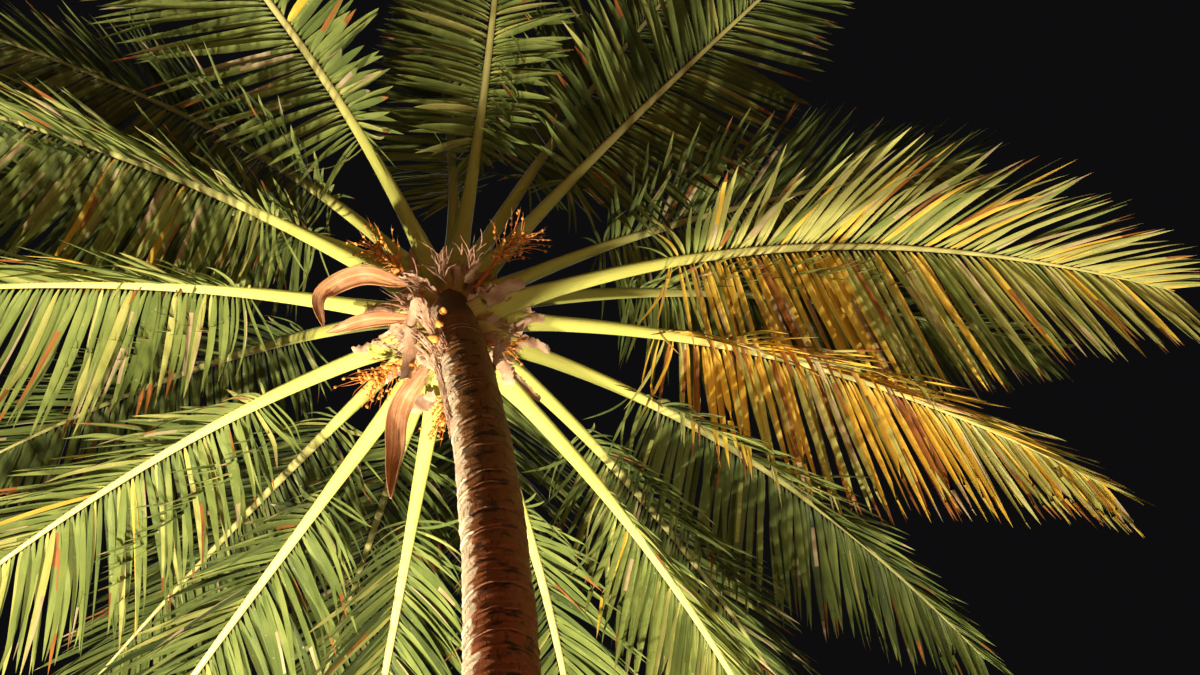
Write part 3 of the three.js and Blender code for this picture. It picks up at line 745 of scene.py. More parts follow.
@dataclass(frozen=True)
class Bark(Finish):
    """Ringed palm bark, red-brown and darker in its ring grooves, with a painted lit strip: a pale painted
    highlight down the side that the low key lamps graze.
    """

    name: str = "ringed_bark"
    body: Colour = (0.270, 0.075, 0.024)
    upper: Colour = (0.210, 0.090, 0.030)
    ledge: Colour = (0.420, 0.190, 0.080)
    # Painted highlight: the pale colour of the lit strip on the side that the key lamps graze.
    painted_lit_strip: Colour = (0.680, 0.520, 0.360)
    groove: Colour = (0.060, 0.022, 0.010)
    scar: Colour = (0.020, 0.010, 0.007)
    neck: Colour = (0.095, 0.030, 0.013)
    upper_reach: Span = (0.62, 0.80)
    neck_reach: Span = (0.905, 0.925)
    ledge_relief: Span = (0.72, 1.0)
    groove_relief: Span = (0.34, 0.0)
    worn_share: float = 0.14
    crack_share: float = 0.6
    crack_depth: float = 0.8
    scar_share: float = 0.85
    scar_stretch: Place = (9.0, 9.0, 24.0)
    # The ragged edge of the painted lit strip paints the saw-tooth shade that the ring ledges cast.
    lit_edge_stretch: Place = (9.0, 9.0, 34.0)
    lit_edge_jag: float = 0.34
    lit_strip_from: Span = (0.89, 0.915)

    def look(self, sheet: Sheet) -> Look:
        """Works out rings from the kept relief, the painted lit strip, then scars and cracks on top."""
        straight = sheet.stored("straight", "Vector")
        relief = sheet.stored("relief", "Fac")
        climb = sheet.stored("reach", "Fac")
        ground = sheet.blend(sheet.spread(climb, *self.upper_reach), self.body, self.upper)
        ground = sheet.blend(sheet.spread(climb, *self.neck_reach), ground, self.neck)
        pale = sheet.mottle(straight, self.ledge, self.body, scale=16.0, balance=0.42)
        rings = sheet.overlay(ground, pale, sheet.spread(relief, *self.ledge_relief), self.worn_share)
        # Painted highlight: the pale lit strip down the side that faces the key lamps.
        lit_strip = self.lit_strip_mask(sheet, straight)
        rings = sheet.blend(lit_strip, rings, self.painted_lit_strip)
        rings = sheet.blend(sheet.spread(relief, *self.groove_relief), rings, self.groove)
        cracks = sheet.streaks(straight, across=95.0, along=22.0, balance=0.64, softness=0.05)
        rings = sheet.overlay(rings, self.groove, cracks, self.crack_share)
        spots = sheet.patches(sheet.stretch(straight, self.scar_stretch), 1.0, balance=0.60, softness=0.03)
        # Fewer scars show inside the painted lit strip.
        left = sheet.maths("SUBTRACT", self.scar_share, sheet.maths("MULTIPLY", lit_strip, 0.6))
        colour = sheet.blend(sheet.maths("MULTIPLY", spots, left), rings, self.scar)
        fine = sheet.noise(straight, 120.0, detail=6.0, roughness=0.7)
        height = sheet.maths("SUBTRACT", fine, sheet.maths("MULTIPLY", cracks, self.crack_depth))
        return Look(colour, sheet.spread(fine, 1.4, -0.6), height, 0.006)

    def lit_strip_mask(self, sheet: Sheet, straight: bpy.types.NodeSocket) -> bpy.types.NodeSocket:
        """A mask of the painted lit strip, whose ragged edge paints the saw-tooth shade that the ring ledges
        cast.

        Args:
            sheet: The material's nodes.
            straight: The place on the straight trunk.

        Returns:
            The mask.
        """
        teeth = sheet.noise(sheet.stretch(straight, self.lit_edge_stretch), detail=3.0)
        shift = sheet.maths("MULTIPLY", sheet.maths("SUBTRACT", teeth, 0.5), self.lit_edge_jag)
        return sheet.spread(sheet.maths("ADD", sheet.stored("lit_side", "Fac"), shift), *self.lit_strip_from)


@dataclass(frozen=True)
class StalkSkin(Finish):
    """Smooth waxy skin of a leaf stalk and its rib."""

    name: str = "stalk_skin"
    foot: Colour = (0.42, 0.22, 0.09)
    stalk: Colour = (0.64, 0.65, 0.16)
    rib: Colour = (0.72, 0.67, 0.27)
    tip: Colour = (0.58, 0.55, 0.19)
    streak: Colour = (0.43, 0.46, 0.08)
    speck: Colour = (0.16, 0.085, 0.030)

    def look(self, sheet: Sheet) -> Look:
        """Works out the colour along the limb, with streaks and a few specks."""
        straight = sheet.stored("straight", "Vector")
        stops = ((0.0, self.foot), (0.045, self.stalk), (0.26, self.stalk), (0.42, self.rib), (1.0, self.tip))
        ground = sheet.ramp(sheet.stored("reach", "Fac"), stops)
        lines = sheet.streaks(straight, across=70.0, along=1.6, balance=0.55)
        colour = sheet.overlay(ground, self.streak, lines, 0.4)
        dots = sheet.streaks(straight, across=110.0, along=45.0, balance=0.73, softness=0.02)
        colour = sheet.overlay(colour, self.speck, dots, 0.75)
        fine = sheet.streaks(straight, across=260.0, along=9.0, softness=0.3)
        return Look(colour, sheet.spread(lines, -1.1, 2.6), fine, 0.0012, coat=0.12)


@dataclass(frozen=True)
class LeafSkin(Finish):
    """A leaflet's skin: one base colour with soft patches and veins along the blade."""

    name: str
    body: Colour
    patch: Colour
    gloss: float = 0.40
    worn: Colour = (0.62, 0.53, 0.36)
    worn_from: float = 0.71
    vein_shade: Colour = (0.55, 0.6, 0.5)
    vein_stretch: Place = (520.0, 5.0, 1.0)

    def look(self, sheet: Sheet) -> Look:
        """Works out patches over the frond, veins along the blade and worn streaks."""
        ground = sheet.mottle(sheet.place(), self.body, self.patch, scale=5.0, balance=0.54)
        grain = sheet.grain()
        veins = sheet.noise(sheet.stretch(grain, self.vein_stretch))
        mask = sheet.spread(veins, 0.38, 0.66)
        veined = sheet.blend(sheet.maths("MULTIPLY", mask, 0.45), ground, self.vein_shade, way="MULTIPLY")
        rubbed = sheet.streaks(grain, across=46.0, along=7.0, balance=self.worn_from, softness=0.03)
        colour = sheet.overlay(veined, self.worn, rubbed, 0.75)
        limits = {"Value": veins, "To Min": self.gloss - 0.08, "To Max": self.gloss + 0.14}
        rough = sheet.add("ShaderNodeMapRange", limits).outputs["Result"]
        return Look(colour, rough, mask, 0.0008, sheen=0.03)


LEAF_SKINS = (
    LeafSkin("leaf_fresh", (0.195, 0.250, 0.060), (0.275, 0.325, 0.085)),
    LeafSkin("leaf_green", (0.115, 0.160, 0.036), (0.175, 0.225, 0.054)),
    LeafSkin("leaf_deep", (0.048, 0.074, 0.017), (0.080, 0.112, 0.026)),
    LeafSkin("leaf_lime", (0.420, 0.425, 0.115), (0.500, 0.480, 0.155), worn_from=0.66),
    LeafSkin("leaf_amber", (0.820, 0.500, 0.055), (0.880, 0.600, 0.095)),
    LeafSkin("leaf_rust", (0.370, 0.130, 0.025), (0.270, 0.085, 0.022), gloss=0.5),
    LeafSkin("leaf_straw", (0.560, 0.440, 0.270), (0.430, 0.290, 0.160), gloss=0.5),
    # Painted shade: dark where each leaflet's narrow root meets the rib.
    LeafSkin("leaf_root_shade", (0.115, 0.085, 0.020), (0.060, 0.040, 0.014), gloss=0.55),
)


class Tint(Enum):
    """The leaflets' colours, by their place in the list of leaf skins."""

    FRESH = 0
    GREEN = 1
    DEEP = 2
    LIME = 3
    AMBER = 4
    RUST = 5
    STRAW = 6
    # Painted shade at the leaflets' roots.
    ROOT = 7


@dataclass(frozen=True)
class Husk(Finish):
    """Dry woody husk with lengthwise grooves."""

    name: str = "husk"
    ridge: Colour = (0.520, 0.250, 0.105)
    groove: Colour = (0.270, 0.110, 0.044)
    edge: Colour = (0.630, 0.380, 0.220)

    def look(self, sheet: Sheet) -> Look:
        """Works out grooves along the husk and pale dry patches."""
        straight = sheet.stored("straight", "Vector")
        lines = sheet.streaks(straight, across=95.0, along=3.0, softness=0.16)
        ground = sheet.blend(lines, self.ridge, self.groove)
        colour = sheet.overlay(ground, self.edge, sheet.patches(straight, 9.0, balance=0.58), 0.6)
        return Look(colour, sheet.spread(lines, -2.0, 1.6), lines, 0.003)


@dataclass(frozen=True)
class FibreCloth(Finish):
    """Papery, woven leaf-base fibre in pale brown."""

    name: str = "fibre_cloth"
    thread: Colour = (0.720, 0.440, 0.280)
    gap: Colour = (0.470, 0.235, 0.125)
    stain: Colour = (0.840, 0.640, 0.460)
    warp: Place = (480.0, 26.0, 1.0)
    weft: Place = (70.0, 620.0, 1.0)

    def look(self, sheet: Sheet) -> Look:
        """Works out two crossing sets of threads and paler patches."""
        grain = sheet.grain()
        threads = [sheet.noise(sheet.stretch(grain, way)) for way in (self.warp, self.weft)]
        weave = sheet.spread(sheet.maths("MAXIMUM", *threads), 0.5, 0.66)
        ground = sheet.blend(weave, self.gap, self.thread)
        colour = sheet.overlay(ground, self.stain, sheet.patches(sheet.place(), 14.0), 0.6)
        return Look(colour, sheet.spread(weave, -3.0, 1.4), weave, 0.0012, sheen=0.1)


@dataclass(frozen=True)
class DryTwig(Finish):
    """Flower twigs and small nuts: one colour that darkens in patches."""

    name: str
    body: Colour
    dark: Colour

    def look(self, sheet: Sheet) -> Look:
        """Works out dark patches on the body colour."""
        place = sheet.place()
        ground = sheet.mottle(place, self.body, self.dark, scale=42.0, balance=0.56)
        fine = sheet.noise(place, 260.0)
        return Look(ground, sheet.spread(fine, -0.8, 1.6), fine, 0.001)


FLOWER_SKINS = (
    DryTwig("flower_twig", (0.640, 0.215, 0.045), (0.330, 0.095, 0.022)),
    DryTwig("flower_nut", (0.780, 0.350, 0.055), (0.520, 0.160, 0.030)),
    DryTwig("flower_dry", (0.560, 0.330, 0.235), (0.330, 0.160, 0.095)),
)


@dataclass(frozen=True)
class Paper(Finish):
    """The studio floor: pale, matt and nearly even."""

    name: str = "studio_floor"
    body: Colour = (0.62, 0.61, 0.58)

    def look(self, sheet: Sheet) -> Look:
        """Works out a faint unevenness."""
        faint = tuple(0.94 * part for part in self.body)
        ground = sheet.mottle(sheet.place(), self.body, faint, scale=0.6)
        fine = sheet.noise(sheet.place(), 30.0)
        return Look(ground, sheet.spread(fine, -4.0, 1.6), fine, 0.0004)


# Trunk


@dataclass(frozen=True)
class Cloud:
    """Noise that moves the trunk's skin: its size, how far it moves a point and which way."""

    name: str
    size: float
    strength: float
    way: str = "NORMAL"

    def push(self, piece: bpy.types.Object) -> None:
        """Moves the skin, but not at the flat cut."""
        texture = bpy.data.textures.new(self.name, "CLOUDS")
        texture.noise_scale = self.size
        texture.noise_depth = 3
        apply_modifier(piece, "DISPLACE", texture=texture, strength=self.strength, mid_level=0.5,
                       direction=self.way, vertex_group="free")


@dataclass
class Trunk:
    """The ringed shaft from its flat cut to the growing core inside the frond bases."""

    sides: int = 56
    ring_gap: float = 0.030
    gap_jitter: float = 0.45
    ring_shape: tuple[Span, ...] = ((0.0, -1.0), (0.2, 0.9), (0.45, 0.5), (0.72, 0.3))
    ring_strengths: tuple[float, ...] = (0.15, 0.2, 0.3, 0.4, 0.5, 0.6, 0.8, 2.2)
    ledge: float = 0.0013
    groove: float = 0.0034
    core_shares: tuple[float, ...] = (0.15, 0.45, 0.75, 1.0)
    clouds: tuple[Cloud, ...] = (Cloud("wavy", 0.22, 0.042, "Z"), Cloud("broken", 0.07, 0.021, "Z"),
                                 Cloud("lumpy", 0.16, 0.011), Cloud("rough", 0.035, 0.0066))
    creases: Cloud = Cloud("creased", 0.075, 0.009)
    crease_stretch: float = 5.0
    cut_fade: float = 0.12
    foot_grooves: int = 23
    foot_groove_depth: float = 0.022
    foot_groove_turn: float = 9.0
    # Azimuth of the painted lit strip: the side that the low key lamps graze.
    lit_strip_side: float = 197.0
    seed: int = 5

    def sections(self) -> tuple[list[Section], list[float]]:
        """Works out a groove, a ledge and a slope for each ring scar.

        Returns:
            The sections up the straight limb and each one's relief, from 0 in a groove to 1 on a ledge.
        """
        draw = random.Random(self.seed)
        made: list[Section] = []
        relief: list[float] = []
        z = 0.0
        while z < STEM.height:
            gap = self.ring_gap * draw.uniform(1.0 - self.gap_jitter, 1.0 + self.gap_jitter)
            strength = draw.choice(self.ring_strengths)
            for share, swell in self.ring_shape:
                size = strength * (self.ledge if swell > 0 else self.groove)
                radius = STEM.girth(z) + swell * size
                made.append(Section(z + share * gap, 2 * radius, 2 * radius))
                relief.append(0.5 + 0.5 * swell * min(strength, 1.0) if swell > 0 else 0.5 - 0.26 * strength)
            z += gap
        for share in self.core_shares:
            radius = mix(STEM.neck_radius, STEM.core_tip, share**1.2)
            height = STEM.height + STEM.core_height * share + self.ring_gap
            made.append(Section(height, 2 * radius, 2 * radius))
            relief.append(0.5)
        return made, relief

    def line(self) -> np.ndarray:
        """The trunk's middle line, straight on inside the crown."""
        shaft = [STEM.centre(z) for z in np.linspace(0.0, STEM.height, 90)]
        core = [STEM.crown_point(0.0, 0.0, h) for h in np.linspace(0.05, 2 * STEM.core_height, 12)]
        return np.array(shaft + core)

    def roughen(self, piece: bpy.types.Object) -> None:
        """Tilts and frays the rings and presses long creases in, which all fade out at the flat cut."""
        hold = piece.vertex_groups.new(name="free")
        for index, height in enumerate(coordinates(piece)[:, 2]):
            hold.add([index], min(1.0, max(height, 0.0) / self.cut_fade), "REPLACE")
        for cloud in self.clouds:
            cloud.push(piece)
        tall = np.array([1.0, 1.0, self.crease_stretch])
        move_points(piece, coordinates(piece) * tall)
        self.creases.push(piece)
        move_points(piece, coordinates(piece) / tall)

    def flare(self, piece: bpy.types.Object) -> None:
        """Shapes root lobes and fine root grooves into the foot."""
        rows = coordinates(piece)
        turn = np.arctan2(rows[:, 1], rows[:, 0])
        low = np.exp(-rows[:, 2] / STEM.lobe_fade)
        lobes = STEM.lobe_depth * low * np.cos(STEM.root_lobes * turn)
        twisted = self.foot_grooves * turn + self.foot_groove_turn * rows[:, 2]
        fine = self.foot_groove_depth * low * np.cos(twisted)
        rows[:, :2] *= (1.0 + lobes + fine)[:, None]
        move_points(piece, rows)

    def keep_lit_side(self, piece: bpy.types.Object) -> None:
        """Stores how far each point of the bent trunk faces the side that the key lamps light, for the
        painted lit strip.
        """
        rows = coordinates(piece)
        away = rows - np.array([STEM.centre(float(z)) for z in np.clip(rows[:, 2], 0.0, STEM.height)])
        turn = np.arctan2(away[:, 1], away[:, 0])
        keep_value(piece, "lit_side", 0.5 + 0.5 * np.cos(turn - math.radians(self.lit_strip_side)))

    def build(self) -> bpy.types.Object:
        """Models the trunk.

        Returns:
            The dressed trunk.
        """
        sections, relief = self.sections()
        piece = raise_limb(self.sides, sections)
        straight = coordinates(piece)
        keep_vector(piece, "straight", straight)
        keep_value(piece, "relief", np.repeat(relief, self.sides))
        keep_value(piece, "reach", straight[:, 2] / sections[-1].at)
        self.roughen(piece)
        self.flare(piece)
        lay_along(piece, self.line(), twist="MINIMUM")
        self.keep_lit_side(piece)
        return settle(piece, "palm_trunk", [Bark()], ["trunk"], crease=55.0)


# Fronds


@dataclass
class Stalk:
    """A frond's bare stalk with its clasping base, and the rib that it runs on into."""

    line: RibLine
    sides: int = 14
    gap: float = 0.075
    places: tuple[float, ...] = (-0.05, 0.05, 0.26, 0.55)
    widths: tuple[float, ...] = (0.150, 0.185, 0.130, 0.096)
    depths: tuple[float, ...] = (0.048, 0.058, 0.064, 0.058)
    rib_width: Span = (0.0735, 0.013)
    rib_depth: Span = (0.0495, 0.012)
    taper_power: float = 0.8
    face_level: float = 0.3
    face_flatness: float = 0.3
    channel_half: float = 0.6
    channel_depth: float = 0.3
    point_length: float = 0.05
    point_width: float = 0.003
    line_gap: float = 0.04
    pattern_step: float = 7.0

    def size(self, distance: float) -> Section:
        """The stalk's or rib's section at a distance from the seat."""
        start = self.line.plan.length * RULE.stalk_share
        if distance < start:
            places = (*self.places, start)
            width = float(np.interp(distance, places, (*self.widths, self.rib_width[0])))
            depth = float(np.interp(distance, places, (*self.depths, self.rib_depth[0])))
            return Section(distance - self.places[0], width, depth)
        share = (distance - start) / (self.line.plan.length * RULE.rib_end - start)
        narrowed = min(share, 1.0) ** self.taper_power
        width, depth = mix(*self.rib_width, narrowed), mix(*self.rib_depth, narrowed)
        return Section(distance - self.places[0], width, depth)

    def channel(self, piece: bpy.types.Object) -> None:
        """Flattens the upper face and presses a shallow channel into it."""
        level, half = self.face_level, self.channel_half
        pick(piece, lambda point: point.co.y > level)
        bpy.ops.transform.resize(value=(1.0, self.face_flatness, 1.0), center_override=(0.0, level, 0.0))
        pick(piece, lambda point: point.co.y > level and abs(point.co.x) < half)
        bpy.ops.transform.translate(value=(0.0, -self.channel_depth, 0.0))

    def build(self) -> bpy.types.Object:
        """Models the stalk and rib as one limb.

        Returns:
            The dressed limb.
        """
        plan = self.line.plan
        end = plan.length * RULE.rib_end
        count = round((end - self.places[0]) / self.gap)
        sections = [self.size(distance) for distance in np.linspace(self.places[0], end, count)]
        sections.append(Section(sections[-1].at + self.point_length, self.point_width, self.point_width))
        piece = raise_limb(self.sides, sections, self.channel)
        straight = coordinates(piece)
        keep_vector(piece, "straight", straight + UP * self.pattern_step * plan.seed)
        keep_value(piece, "reach", straight[:, 2] / sections[-1].at)
        lay_along(piece, self.line.route(self.places[0], plan.length, self.line_gap))
        name = plan.name
        return settle(piece, f"frond_stalk_{name}", [StalkSkin()], [f"stalk_{name}"], crease=70.0)


@dataclass(frozen=True)
class TintRule:
    """How often a leaflet of one age takes each colour, and how often it has a dry tip or a streak."""

    bodies: dict[Tint, float]
    tip_chance: float
    streak_chance: float

    def draw(self, draw: random.Random) -> Tint:
        """One body colour by its odds."""
        return draw.choices(list(self.bodies), list(self.bodies.values()))[0]


TINT_RULES = {
    LeafAge.YOUNG: TintRule({Tint.FRESH: 0.66, Tint.GREEN: 0.26, Tint.LIME: 0.08}, 0.10, 0.04),
    LeafAge.FULL: TintRule({Tint.GREEN: 0.54, Tint.FRESH: 0.32, Tint.DEEP: 0.11, Tint.LIME: 0.03},
                           0.22, 0.10),
    LeafAge.WORN: TintRule({Tint.FRESH: 0.60, Tint.GREEN: 0.22, Tint.LIME: 0.165, Tint.AMBER: 0.015},
                           0.34, 0.26),
    LeafAge.TURNING: TintRule({Tint.LIME: 0.66, Tint.FRESH: 0.22, Tint.AMBER: 0.12}, 0.40, 0.30),
    LeafAge.YELLOW: TintRule({Tint.AMBER: 0.74, Tint.LIME: 0.16, Tint.RUST: 0.10}, 0.62, 0.40),
}


@dataclass
class Seats:
    """Where the leaflets of a frond sit on its rib, one row for each."""

    share: np.ndarray
    sign: np.ndarray
    point: np.ndarray
    direction: np.ndarray
    side: np.ndarray
    normal: np.ndarray


@dataclass
class Blades:
    """The lines of a frond's leaflets, tip last, with the ways over and out of each blade and its size."""

    places: np.ndarray
    across: np.ndarray
    above: np.ndarray
    width: np.ndarray
    length: np.ndarray


@dataclass
class Leaflets:
    """All leaflets of one frond, grown in pairs along its rib by the rule of the solids."""

    line: RibLine
    pairs: int = 92
    pair_jitter: float = 0.3
    longest: float = 1.04
    longest_at: float = 0.38
    first_share: float = 0.5
    last_share: float = 0.4
    fade_power: float = 1.3
    length_jitter: float = 0.05
    start_angle: float = 90.0
    end_angle: float = 34.0
    angle_power: float = 1.3
    angle_jitter: float = 3.0
    fan_angle: float = 47.0
    fan_share: float = 0.05
    dip: float = 20.0
    dip_jitter: float = 6.0
    root_hang: float = 0.75
    tip_hang: float = 1.65
    hang_power: float = 1.15
    hang_jitter: float = 0.12
    young_stiffness: float = 1.1
    bent_share: float = 0.38
    bent_pull: Span = (0.2, 1.2)
    bent_at: Span = (0.5, 0.92)
    sway: float = 0.07
    twist_root: float = 0.12
    twist_tip: float = 0.30
    stringy_share: float = 0.09
    stringy_sway: float = 1.1
    stringy_loss: float = 0.25
    stringy_thinning: float = 0.66
    width: float = 0.052
    width_jitter: float = 0.07
    thickness: float = 0.0028
    turned_share: float = 0.36
    greener_share: float = 0.62
    greener_chance: float = 0.6
    pattern_step: float = 3.7
    stations: tuple[float, ...] = (0.0, 0.018, 0.07, 0.18, 0.32, 0.46, 0.60, 0.73, 0.85, 0.94)
    outline: tuple[float, ...] = (0.26, 0.30, 0.66, 0.94, 1.0, 0.97, 0.86, 0.68, 0.44, 0.20)
    fold: tuple[float, ...] = (0.9, 0.8, 0.7, 0.55, 0.45, 0.4, 0.4, 0.4, 0.4, 0.4)

    def lengths(self, share: np.ndarray) -> np.ndarray:
        """Leaflet lengths: short, long, then short again along the rib."""
        grown = np.sin(np.pi / 2 * np.minimum(1.0, share / self.longest_at))
        faded = np.maximum(0.0, (share - self.longest_at) / (1.0 - self.longest_at)) ** self.fade_power
        start = self.first_share + (1.0 - self.first_share) * grown
        return self.longest * start * (1.0 + (self.last_share - 1.0) * faded)

    def tints(self, share: float, sign: float, draw: random.Random) -> list[int]:
        """Deals out the colours of one leaflet's faces.

        Args:
            share: Its place along the rib.
            sign: The side of the rib that it grows on.
            draw: The frond's own source of chance.

        Returns:
            A material slot for each face of the leaflet.
        """
        age = self.line.plan.age
        if age is LeafAge.TURNING and sign < 0 and share < self.turned_share:
            age = LeafAge.YELLOW
        if age is LeafAge.YELLOW and share > self.greener_share and draw.random() < self.greener_chance:
            age = LeafAge.TURNING
        rule = TINT_RULES[age]
        body = rule.draw(draw).value
        rows = [[body] * 4 for _ in self.stations]
        # The first ring of faces, and the cap added below, get the painted root shade.
        rows[0] = [Tint.ROOT.value] * 4
        if draw.random() < rule.streak_chance:
            half = draw.choice(((0, 1), (2, 3)))
            tint = draw.choice((Tint.STRAW, Tint.STRAW, Tint.RUST, Tint.LIME)).value
            first = draw.randrange(2, 6)
            for row in rows[first:first + draw.randrange(2, 5)]:
                for side in half:
                    row[side] = tint
        if draw.random() < rule.tip_chance:
            tint = draw.choice((Tint.STRAW, Tint.RUST, Tint.RUST)).value
            for row in rows[-draw.randrange(1, 4):]:
                row[:] = [tint] * 4
        return [Tint.ROOT.value] + [slot for row in rows for slot in row]

    def seats(self, chance: np.random.Generator) -> Seats:
        """Spaces the leaflets along both edges of the rib.

        Args:
            chance: The frond's own source of chance for shapes.

        Returns:
            A seat for each leaflet.
        """
        sign = np.tile([1.0, -1.0], self.pairs)
        jitter = chance.uniform(-self.pair_jitter, self.pair_jitter, len(sign))
        share = (np.repeat(np.arange(self.pairs), 2) + 0.5 + jitter) / self.pairs
        distance = self.line.leaf_distance(share)
        point, direction, side, normal = self.line.at(distance)
        stalk = Stalk(self.line)
        half_rib = np.array([stalk.size(value).width / 2 for value in distance])
        point = point + side * (sign * half_rib * 0.8)[:, None] + normal * (half_rib * 0.1)[:, None]
        roll = math.radians(self.line.plan.roll)
        rolled_side = side * math.cos(roll) + normal * math.sin(roll)
        rolled_normal = normal * math.cos(roll) - side * math.sin(roll)
        return Seats(share, sign, point, direction, rolled_side, rolled_normal)

    def headings(self, seats: Seats, chance: np.random.Generator) -> np.ndarray:
        """Works out which way each leaflet leaves the rib.

        Args:
            seats: The leaflets' seats.
            chance: The frond's own source of chance for shapes.

        Returns:
            A direction for each.
        """
        share, sign, count = seats.share, seats.sign, len(seats.share)
        angle = self.start_angle + (self.end_angle - self.start_angle) * share**self.angle_power
        angle += self.fan_angle * np.exp(-share / self.fan_share)
        sweep = np.where(sign > 0, *self.line.plan.sweep)
        angle = np.radians(sweep * angle + chance.normal(0.0, self.angle_jitter, count))[:, None]
        dip = np.radians(self.dip + chance.normal(0.0, self.dip_jitter, count))[:, None]
        away = seats.side * sign[:, None] * np.cos(dip) - seats.normal * np.sin(dip)
        return seats.direction * np.cos(angle) + away * np.sin(angle)

    def pulls(self, along: np.ndarray, chance: np.random.Generator) -> np.ndarray:
        """Works out how hard each leaflet is drawn down, and bends some of them sharply.

        Args:
            along: Places along a leaflet.
            chance: The frond's own source of chance for shapes.

        Returns:
            A row for each leaflet with a pull at each place.
        """
        plan, count = self.line.plan, 2 * self.pairs
        stiff = plan.hang * (1.0 - self.young_stiffness * plan.seat)
        hang = stiff * (1.0 + chance.normal(0.0, self.hang_jitter, count))
        fall = self.root_hang + (self.tip_hang - self.root_hang) * along**self.hang_power
        is_bent = chance.random(count) < self.bent_share
        bent = np.where(is_bent, chance.uniform(*self.bent_pull, count), 0.0)
        past = along[None, :] > chance.uniform(*self.bent_at, count)[:, None]
        return hang[:, None] * fall[None, :] + bent[:, None] * past

    def grow(self, seats: Seats, chance: np.random.Generator) -> Blades:
        """Bends each leaflet from its heading and turns its blade.

        Args:
            seats: The leaflets' seats.
            chance: The frond's own source of chance for shapes.

        Returns:
            The leaflets' lines, ways and sizes.
        """
        share, count = seats.share, len(seats.share)
        heading = self.headings(seats, chance)[:, None, :]
        stringy = np.clip(1.0 - share / self.stringy_share, 0.0, 1.0)
        full = self.lengths(share)
        length = self.line.plan.leaf * full * (1.0 + chance.normal(0.0, self.length_jitter, count))
        length = length * (1.0 - self.stringy_loss * stringy * chance.random(count))
        along = np.array([*self.stations, 1.0])
        pull = self.pulls(along, chance)
        sway = chance.normal(0.0, self.sway, count)[:, None] * along
        sway = sway + (stringy * chance.normal(0.0, self.stringy_sway, count))[:, None] * along
        point, direction = seats.point[:, None, :], seats.direction[:, None, :]
        way = unit(heading - pull[..., None] * UP + sway[..., None] * direction)
        steps = np.diff(along)[None, :, None] * length[:, None, None] * unit(way[:, 1:] + way[:, :-1])
        places = np.concatenate([point, point + np.cumsum(steps, axis=1)], axis=1)
        across = unit(direction - way * np.sum(direction * way, axis=-1, keepdims=True))
        above = np.cross(across, way)
        upright = np.sum(above * seats.normal[:, None, :], axis=-1, keepdims=True) >= 0
        flip = np.where(upright, 1.0, -1.0)
        across, above = across * flip, above * flip
        twist = chance.normal(0.0, self.twist_root, count)[:, None]
        twist = twist + chance.normal(0.0, self.twist_tip, count)[:, None] * along
        cos, sin = np.cos(twist)[..., None], np.sin(twist)[..., None]
        width = self.width * (0.6 + 0.4 * (full / self.longest)) * (1.0 - self.stringy_thinning * stringy)
        width = width * (1.0 + chance.normal(0.0, self.width_jitter, count))
        return Blades(places, across * cos + above * sin, above * cos - across * sin, width, length)

    def add_blade(self, batch: Batch, blades: Blades, index: int, slots: list[int]) -> None:
        """Adds one leaflet as a closed folded blade.

        Args:
            batch: The mesh that it joins.
            blades: All leaflets of the frond.
            index: Which one it is.
            slots: The finish of each of its faces.
        """
        middle, length = blades.places[index, :-1], blades.length[index]
        half = (blades.width[index] * np.array(self.outline) / 2)[:, None]
        wing, lift = blades.across[index, :-1] * half, blades.above[index, :-1]
        thick = lift * self.thickness * 0.5
        drop = lift * half * np.array(self.fold)[:, None]
        rings = np.stack([middle + thick, middle + wing - drop, middle - thick, middle - wing - drop], axis=1)
        points = np.vstack([rings.reshape(-1, 3), blades.places[index, -1]])
        offset = np.stack([0 * half, half, 0 * half, -half], axis=1).reshape(-1)
        travel = np.repeat(np.array(self.stations) * length, 4)
        shift = self.pattern_step * index
        grain = np.column_stack([np.append(offset, 0.0) + shift, np.append(travel, length)])
        batch.add(points, tube_faces(len(self.stations), 4), slots, grain)

    def build(self) -> bpy.types.Object:
        """Grows the leaflets and joins them.

        Returns:
            The dressed sheaf of leaflets.
        """
        plan = self.line.plan
        chance = np.random.default_rng(plan.seed)
        draw = random.Random(plan.seed)
        seats = self.seats(chance)
        blades = self.grow(seats, chance)
        batch = Batch()
        for index, (share, sign) in enumerate(zip(seats.share.tolist(), seats.sign.tolist())):
            self.add_blade(batch, blades, index, self.tints(share, sign, draw))
        name = f"leaflets_{plan.name}"
        return settle(batch.piece(name), name, LEAF_SKINS, [f"blade_{plan.name}"], crease=50.0)


